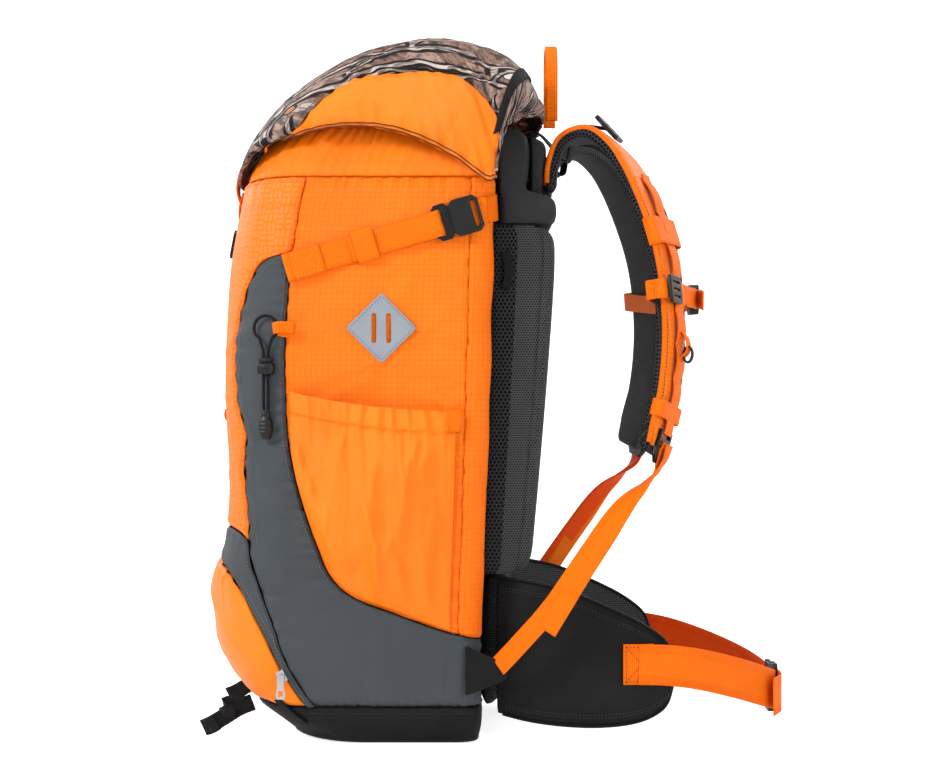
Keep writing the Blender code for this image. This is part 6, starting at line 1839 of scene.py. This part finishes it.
def makeHipWing(name, side):
    mirror = np.array([side, 1, 1])
    places = smoothPath(belt["stations"], 110)
    path, low, high = np.column_stack([places[:, 0], places[:, 1], (places[:, 2] + places[:, 3]) / 2]), places[:, 2], places[:, 3]
    tangent = unit(np.gradient(path * (1, 1, 0), axis=0))
    out = np.stack([tangent[:, 1], -tangent[:, 0], 0 * tangent[:, 0]], axis=1)
    ring = softBox(1.0, 1.0, 3.4, 64)
    f = np.linspace(0, 1, 110)
    ease = np.sqrt(np.clip(1 - np.clip((f - 0.93) / 0.07, 0, 1) ** 2, 0.10, 1))
    inward = belt["thick"] / 2
    half = (high - low) / 2 * ease
    deep = belt["thick"] / 2 * (0.35 + 0.65 * ease)
    rows = path[:, None] - out[:, None] * inward + out[:, None] * (ring[None, :, 1] * deep[:, None])[..., None]
    rows = rows + np.array([0, 0, 1.0]) * (ring[None, :, 0] * half[:, None])[..., None]
    n, m = rows.shape[:2]
    i, j = np.meshgrid(np.arange(n - 1), np.arange(m), indexing="ij")
    k = (j + 1) % m
    corners = np.stack([i * m + j, i * m + k, (i + 1) * m + k, (i + 1) * m + j], axis=-1).reshape(-1, 4)
    faces = corners.tolist() + [list(range(m))[::-1], list(range((n - 1) * m, n * m))]
    wing = makeMesh(f"hip_wing_foam_{name}", rows * mirror, faces, None, "black")
    work = bmesh.new()
    work.from_mesh(wing.data)
    bmesh.ops.recalc_face_normals(work, faces=work.faces)
    work.to_mesh(wing.data)
    work.free()
    boxProject(wing)
    paintFaces(wing, "padMesh", lambda centres, normals: normals[:, 0] * side < -0.25)
    settle(wing, f"hip_{name}", f"hip_wing_{name}", slot="black_cloth")
    for inset, thread in ((0.0085, "blackThread"), (0.0110, "blackThread")):
        top = path + out * 0.0012 + np.array([0, 0, 1.0]) * (half - inset)[:, None]
        bottom = path + out * 0.0012 - np.array([0, 0, 1.0]) * (half - inset)[:, None]
        stitch(f"hip_{name}", thread, np.concatenate([top[6:-5], bottom[6:-5][::-1]]) * mirror)
    # bound rim
    rim = np.concatenate([path + np.array([0, 0, 1.0]) * half[:, None], (path - np.array([0, 0, 1.0]) * half[:, None])[::-1]]) - np.concatenate([out, out[::-1]]) * inward
    rim = rim[3:-3]
    settle(tubePiece(f"hip_binding_{name}", smoothPath(rim, 240) * mirror, (1, 0, 0.001), oval(0.0050, 0.0017, 10), "binding", uvTurn=True), f"hip_{name}", slot="black_cloth")
    # webbing sewn to the wing
    root = np.array(belt["root"])
    at = np.interp(root[1], places[:, 1], np.arange(110))
    base = [path[int(at - 9)] + out[int(at - 9)] * 0.0026, path[int(at)] + out[int(at)] * 0.0030, path[int(at + 9)] + out[int(at + 9)] * 0.0030]
    base = [(b[0], b[1], root[2]) for b in base]
    settle(webbing(f"hip_anchor_{name}", np.array(base) * mirror, (0, 0, 1), belt["webWidth"], thick=0.0020), f"hip_{name}", slot="orange_webbing")
    boxStitch(f"hip_{name}", "darkThread", (np.array(base[0]) + (0.0014, 0.003, -0.016)) * mirror, np.array(base[2]) * mirror - np.array(base[0]) * mirror, (0, 0, 1), 0.028, 0.032)


def makeHipWebbing():
    y, z = belt["buckle"]
    for name, side, reach in (("right", 1.0, 0.028), ("left", -1.0, 0.017)):
        mirror = np.array([side, 1, 1])
        line = np.array([belt["root"], *belt["line"], (reach + 0.0064, y, z), (reach - 0.0042, y, z)])
        line[0, 0] += 0.0022
        line[1, 0] += 0.0008
        path = smoothPath(line, 100)
        f = np.linspace(0, 1, 100)
        path += np.stack([0.0012 * np.sin(f * 9), 0.0010 * np.sin(f * 7 + 1), 0 * f], axis=1) * np.sin(f * math.pi)[:, None]
        # the left side takes the darker copy of the webbing: painted shade
        web = webbing(f"hip_webbing_{name}", path * mirror, (0, 0.0, 1), belt["webWidth"], "webbing" if side > 0 else "shadedWebbing", raw=True)
        settle(web, f"hip_strap_{name}", f"hip_strap_{name}", slot="orange_webbing")
        tail = [(reach - 0.0046, y + 0.0006, z), (reach - 0.0050, y + 0.0038, z), (reach + 0.0030, y + 0.0052, z), (reach + 0.020, y + 0.0042, z - 0.001), (reach + 0.044, y - 0.0060, z - 0.002)]
        tail = smoothPath(tail, 50)
        settle(webbing(f"hip_tail_{name}", tail * mirror, (0, 0, 1), belt["webWidth"] - 0.001, "webbing" if side > 0 else "shadedWebbing", raw=True), f"hip_strap_{name}", slot="orange_webbing")


for name, side in (("right", 1.0), ("left", -1.0)):
    makeShoulder(name, side)
    strapWebbing(name, side)
    makeHipWing(name, side)
makeSternum()
makeHipWebbing()
print("harness and hip belt are on")

# ---- buckles, locks, haul loop, lash webbing, front strap
hardware = {
    "lid_buckle_male": 0.0006, "front_buckle_female": 0.0008, "sternum_buckle_male": 0.0005, "sternum_buckle_female": 0.0007,
    "hip_buckle_male": 0.0006, "hip_buckle_female": 0.0009, "drawcord_lock": 0.0004,
}
for side in ("right", "left"):
    hardware |= {f"side_buckle_female_{side}": 0.0008, f"side_buckle_male_{side}": 0.0006, f"ladder_lock_{side}": 0.0006, f"lifter_lock_{side}": 0.0005}
for node, bevel in hardware.items():
    refined(node, f"{node}_moulded", bevel)
for node in ("zip_slider", "zip_pull"):
    refined(node, f"{node}_cast", 0.00025, "metal", "zip_metal")


def makeHaulLoop():
    y, z, half, high, web = 0.1375, 0.5965, 0.028, 0.076, 0.012
    r = half - 0.0018
    angles = np.linspace(0, math.pi, 16)
    line = [(-half, y, z), (-half, y, z + (high - r) * 0.5)] + [(-half * math.cos(a), y, z + high - r + r * math.sin(a)) for a in angles] + [(half, y, z + (high - r) * 0.5), (half, y, z)]
    loop = webbing("haul_webbing", line, (0, 1, 0), web, thick=0.0034, count=110)
    settle(loop, "haul_loop", "haul_loop", slot="orange_webbing")
    for shift in (-0.0035, 0.0035):
        run = smoothPath(line, 90)
        out = np.stack([np.sin(np.arctan2(run[:, 0], 0.03)), 0 * run[:, 0], np.clip((run[:, 2] - z - 0.04) / 0.03, 0, 1)], axis=1)
        stitch("haul_loop", "orangeThread", run + unit(out + [1e-6, 0, 0]) * 0.0018 + np.array([0, shift, 0]))


def makeFrontStrap():
    top = bagPoint(1.0, 0.489, 0.0057)
    axis = unit(bagPoint(1.0, 0.520) - bagPoint(1.0, 0.470))
    out = np.array([0, -1.0, 0])
    start = top + axis * 0.0130
    line = [start, start + axis * 0.010 + out * 0.0020, (0, -0.1745, 0.527), (0, -0.1738, 0.540), (0, -0.1700, 0.552), (0, -0.1650, 0.5600)]
    settle(webbing("front_webbing", line, (1, 0, 0), 0.025), "lid", "lid_strap", slot="orange_webbing")
    tail = [start + out * 0.0026, start + axis * 0.012 + out * 0.0046, start + axis * 0.026 + out * 0.0035]
    settle(webbing("front_webbing_tail", tail, (1, 0, 0), 0.0245), "lid", slot="orange_webbing")
    # lower webbing runs down the middle of the front under the buckle
    low = [top - axis * 0.0235, top - axis * 0.030 - out * 0.0010]
    low += [bagPoint(1.0, z, 0.0042 + (0.0020 * abs(math.sin((z - 0.23) * math.pi / 0.03)))) for z in np.arange(0.445, 0.229, -0.006)]
    settle(webbing("front_ladder_web", low, (1, 0, 0), 0.025, count=150), "pack", slot="orange_webbing")
    for z in np.arange(0.230, 0.44, 0.03):
        for step in (-0.001, 0.001):
            p = bagPoint(1.0, z + step, 0.0053)
            stitch("pack", "orangeThread", np.linspace(p - (0.011, 0, 0), p + (0.011, 0, 0), 6))
    tab = [bagPoint(1.0, 0.316, 0.0050), bagPoint(1.0, 0.311, 0.0100), bagPoint(1.0, 0.303, 0.0105), bagPoint(1.0, 0.297, 0.0050)]
    settle(webbing("front_tab", tab, (1, 0, 0), 0.018, thick=0.0016), "pack", slot="orange_webbing")


lash = {
    "width": 0.016,
    "main": [(0.094, -0.1500, 0.0340), (0.097, -0.1630, 0.0290), (0.099, -0.1770, 0.0205), (0.100, -0.1900, 0.0130), (0.1015, -0.1965, 0.0105), (0.1035, -0.1900, 0.0125), (0.1040, -0.1830, 0.0165)],
    "loop": [(0.0955, -0.1570, 0.0330), (0.0985, -0.1690, 0.0345), (0.1000, -0.1775, 0.0320), (0.1020, -0.1750, 0.0275), (0.1025, -0.1660, 0.0265)],
}


def makeLashWebbing(name, side):
    mirror = np.array([side, 1, 1])
    main = webbing(f"lash_webbing_{name}", np.array(lash["main"]) * mirror, (0, 0.6, -0.8), lash["width"], "blackWeb")
    settle(main, "pack", f"bottom_strap_{name}", slot="black_cloth")
    loop = webbing(f"lash_loop_{name}", np.array(lash["loop"]) * mirror, (0, 0.25, 0.97), lash["width"] * 0.85, "blackWeb", thick=0.0014)
    settle(loop, "pack", slot="black_cloth")
    # short black tab under the zip's end
    turn = turnAt(-0.110, 0.030)
    tab = [bagPoint(turn, z, out) * mirror for z, out in ((0.0430, 0.0030), (0.0370, 0.0042), (0.0280, 0.0046), (0.0180, 0.0044))]
    across = (bagPoint(turn + 0.02, 0.03) - bagPoint(turn, 0.03)) * mirror
    settle(webbing(f"zip_end_tab_{name}", tab, across, 0.010, "blackWeb", thick=0.0016), "pack", slot="black_cloth")


makeHaulLoop()
makeFrontStrap()
for name, side in (("right", 1.0), ("left", -1.0)):
    makeLashWebbing(name, side)
print("hardware and small webbing are on")

# ---- frame nodes that stay as they are, with their own finish
kept = {
    "framesheet": "sheetPlastic", "stay_right": "alloy", "stay_left": "alloy", "drawcord": "blackThread",
}

# ---- thread, drawn along every run that the pieces asked for


def stitchTree():
    tree = bpy.data.node_groups.new("stitchRun", "GeometryNodeTree")
    face = tree.interface
    face.new_socket("Geometry", in_out="INPUT", socket_type="NodeSocketGeometry")
    for label, value in (("Pitch", needle["pitch"]), ("Long", needle["long"]), ("Radius", needle["radius"])):
        face.new_socket(label, in_out="INPUT", socket_type="NodeSocketFloat").default_value = value
    face.new_socket("Thread", in_out="INPUT", socket_type="NodeSocketMaterial")
    face.new_socket("Geometry", in_out="OUTPUT", socket_type="NodeSocketGeometry")
    new, link = tree.nodes.new, tree.links.new
    given, made = new("NodeGroupInput").outputs, new("NodeGroupOutput").inputs
    points = new("GeometryNodeCurveToPoints")
    points.mode = "LENGTH"
    link(given["Geometry"], points.inputs["Curve"])
    link(given["Pitch"], points.inputs["Length"])
    bead = new("GeometryNodeMeshUVSphere")
    bead.inputs["Segments"].default_value, bead.inputs["Rings"].default_value = 6, 4
    bead.inputs["Radius"].default_value = 1.0
    turn = new("FunctionNodeAlignRotationToVector")
    turn.axis = "Z"
    link(points.outputs["Tangent"], turn.inputs["Vector"])
    half = new("ShaderNodeMath")
    half.operation = "MULTIPLY"
    half.inputs[1].default_value = 0.5
    link(given["Long"], half.inputs[0])
    size = new("ShaderNodeCombineXYZ")
    link(given["Radius"], size.inputs[0])
    link(given["Radius"], size.inputs[1])
    link(half.outputs[0], size.inputs[2])
    lay = new("GeometryNodeInstanceOnPoints")
    link(points.outputs["Points"], lay.inputs["Points"])
    link(bead.outputs["Mesh"], lay.inputs["Instance"])
    link(turn.outputs["Rotation"], lay.inputs["Rotation"])
    link(size.outputs[0], lay.inputs["Scale"])
    real = new("GeometryNodeRealizeInstances")
    link(lay.outputs[0], real.inputs[0])
    paint = new("GeometryNodeSetMaterial")
    link(real.outputs[0], paint.inputs["Geometry"])
    link(given["Thread"], paint.inputs["Material"])
    link(paint.outputs[0], made["Geometry"])
    return tree


def runTree(tree, name, lines, values, body):
    curve = bpy.data.curves.new(name, "CURVE")
    curve.dimensions = "3D"
    for line in lines:
        spline = curve.splines.new("POLY")
        spline.points.add(len(line) - 1)
        spline.points.foreach_set("co", np.concatenate([line, np.ones((len(line), 1))], axis=1).astype(np.float32).reshape(-1))
    holder = bpy.data.objects.new(name + "_path", curve)
    scene.collection.objects.link(holder)
    made = holder.modifiers.new("run", "NODES")
    made.node_group = tree
    for item in tree.interface.items_tree:
        if item.item_type == "SOCKET" and item.in_out == "INPUT" and item.name in values:
            made[item.identifier] = values[item.name]
    graph = bpy.context.evaluated_depsgraph_get()
    mesh = bpy.data.meshes.new_from_object(holder.evaluated_get(graph), preserve_all_data_layers=True, depsgraph=graph)
    bpy.data.objects.remove(holder)
    mesh.name = name
    mesh.shade_smooth()
    obj = bpy.data.objects.new(name, mesh)
    scene.collection.objects.link(obj)
    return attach(obj, body)


threadTree = stitchTree()
for (body, thread), lines in sorted(stitching.items()):
    runTree(threadTree, f"stitches_{thread}_{body}", lines, {"Thread": finishes[thread]}, body)
print("stitched", sum(len(lines) for lines in stitching.values()), "runs")

for node in frame["nodes"].values():
    if node.hide_render:
        continue
    for slotIndex in range(len(node.data.materials)):
        wanted = kept.get(node.name, "plastic")
        node.data.materials[slotIndex] = finishes[wanted]
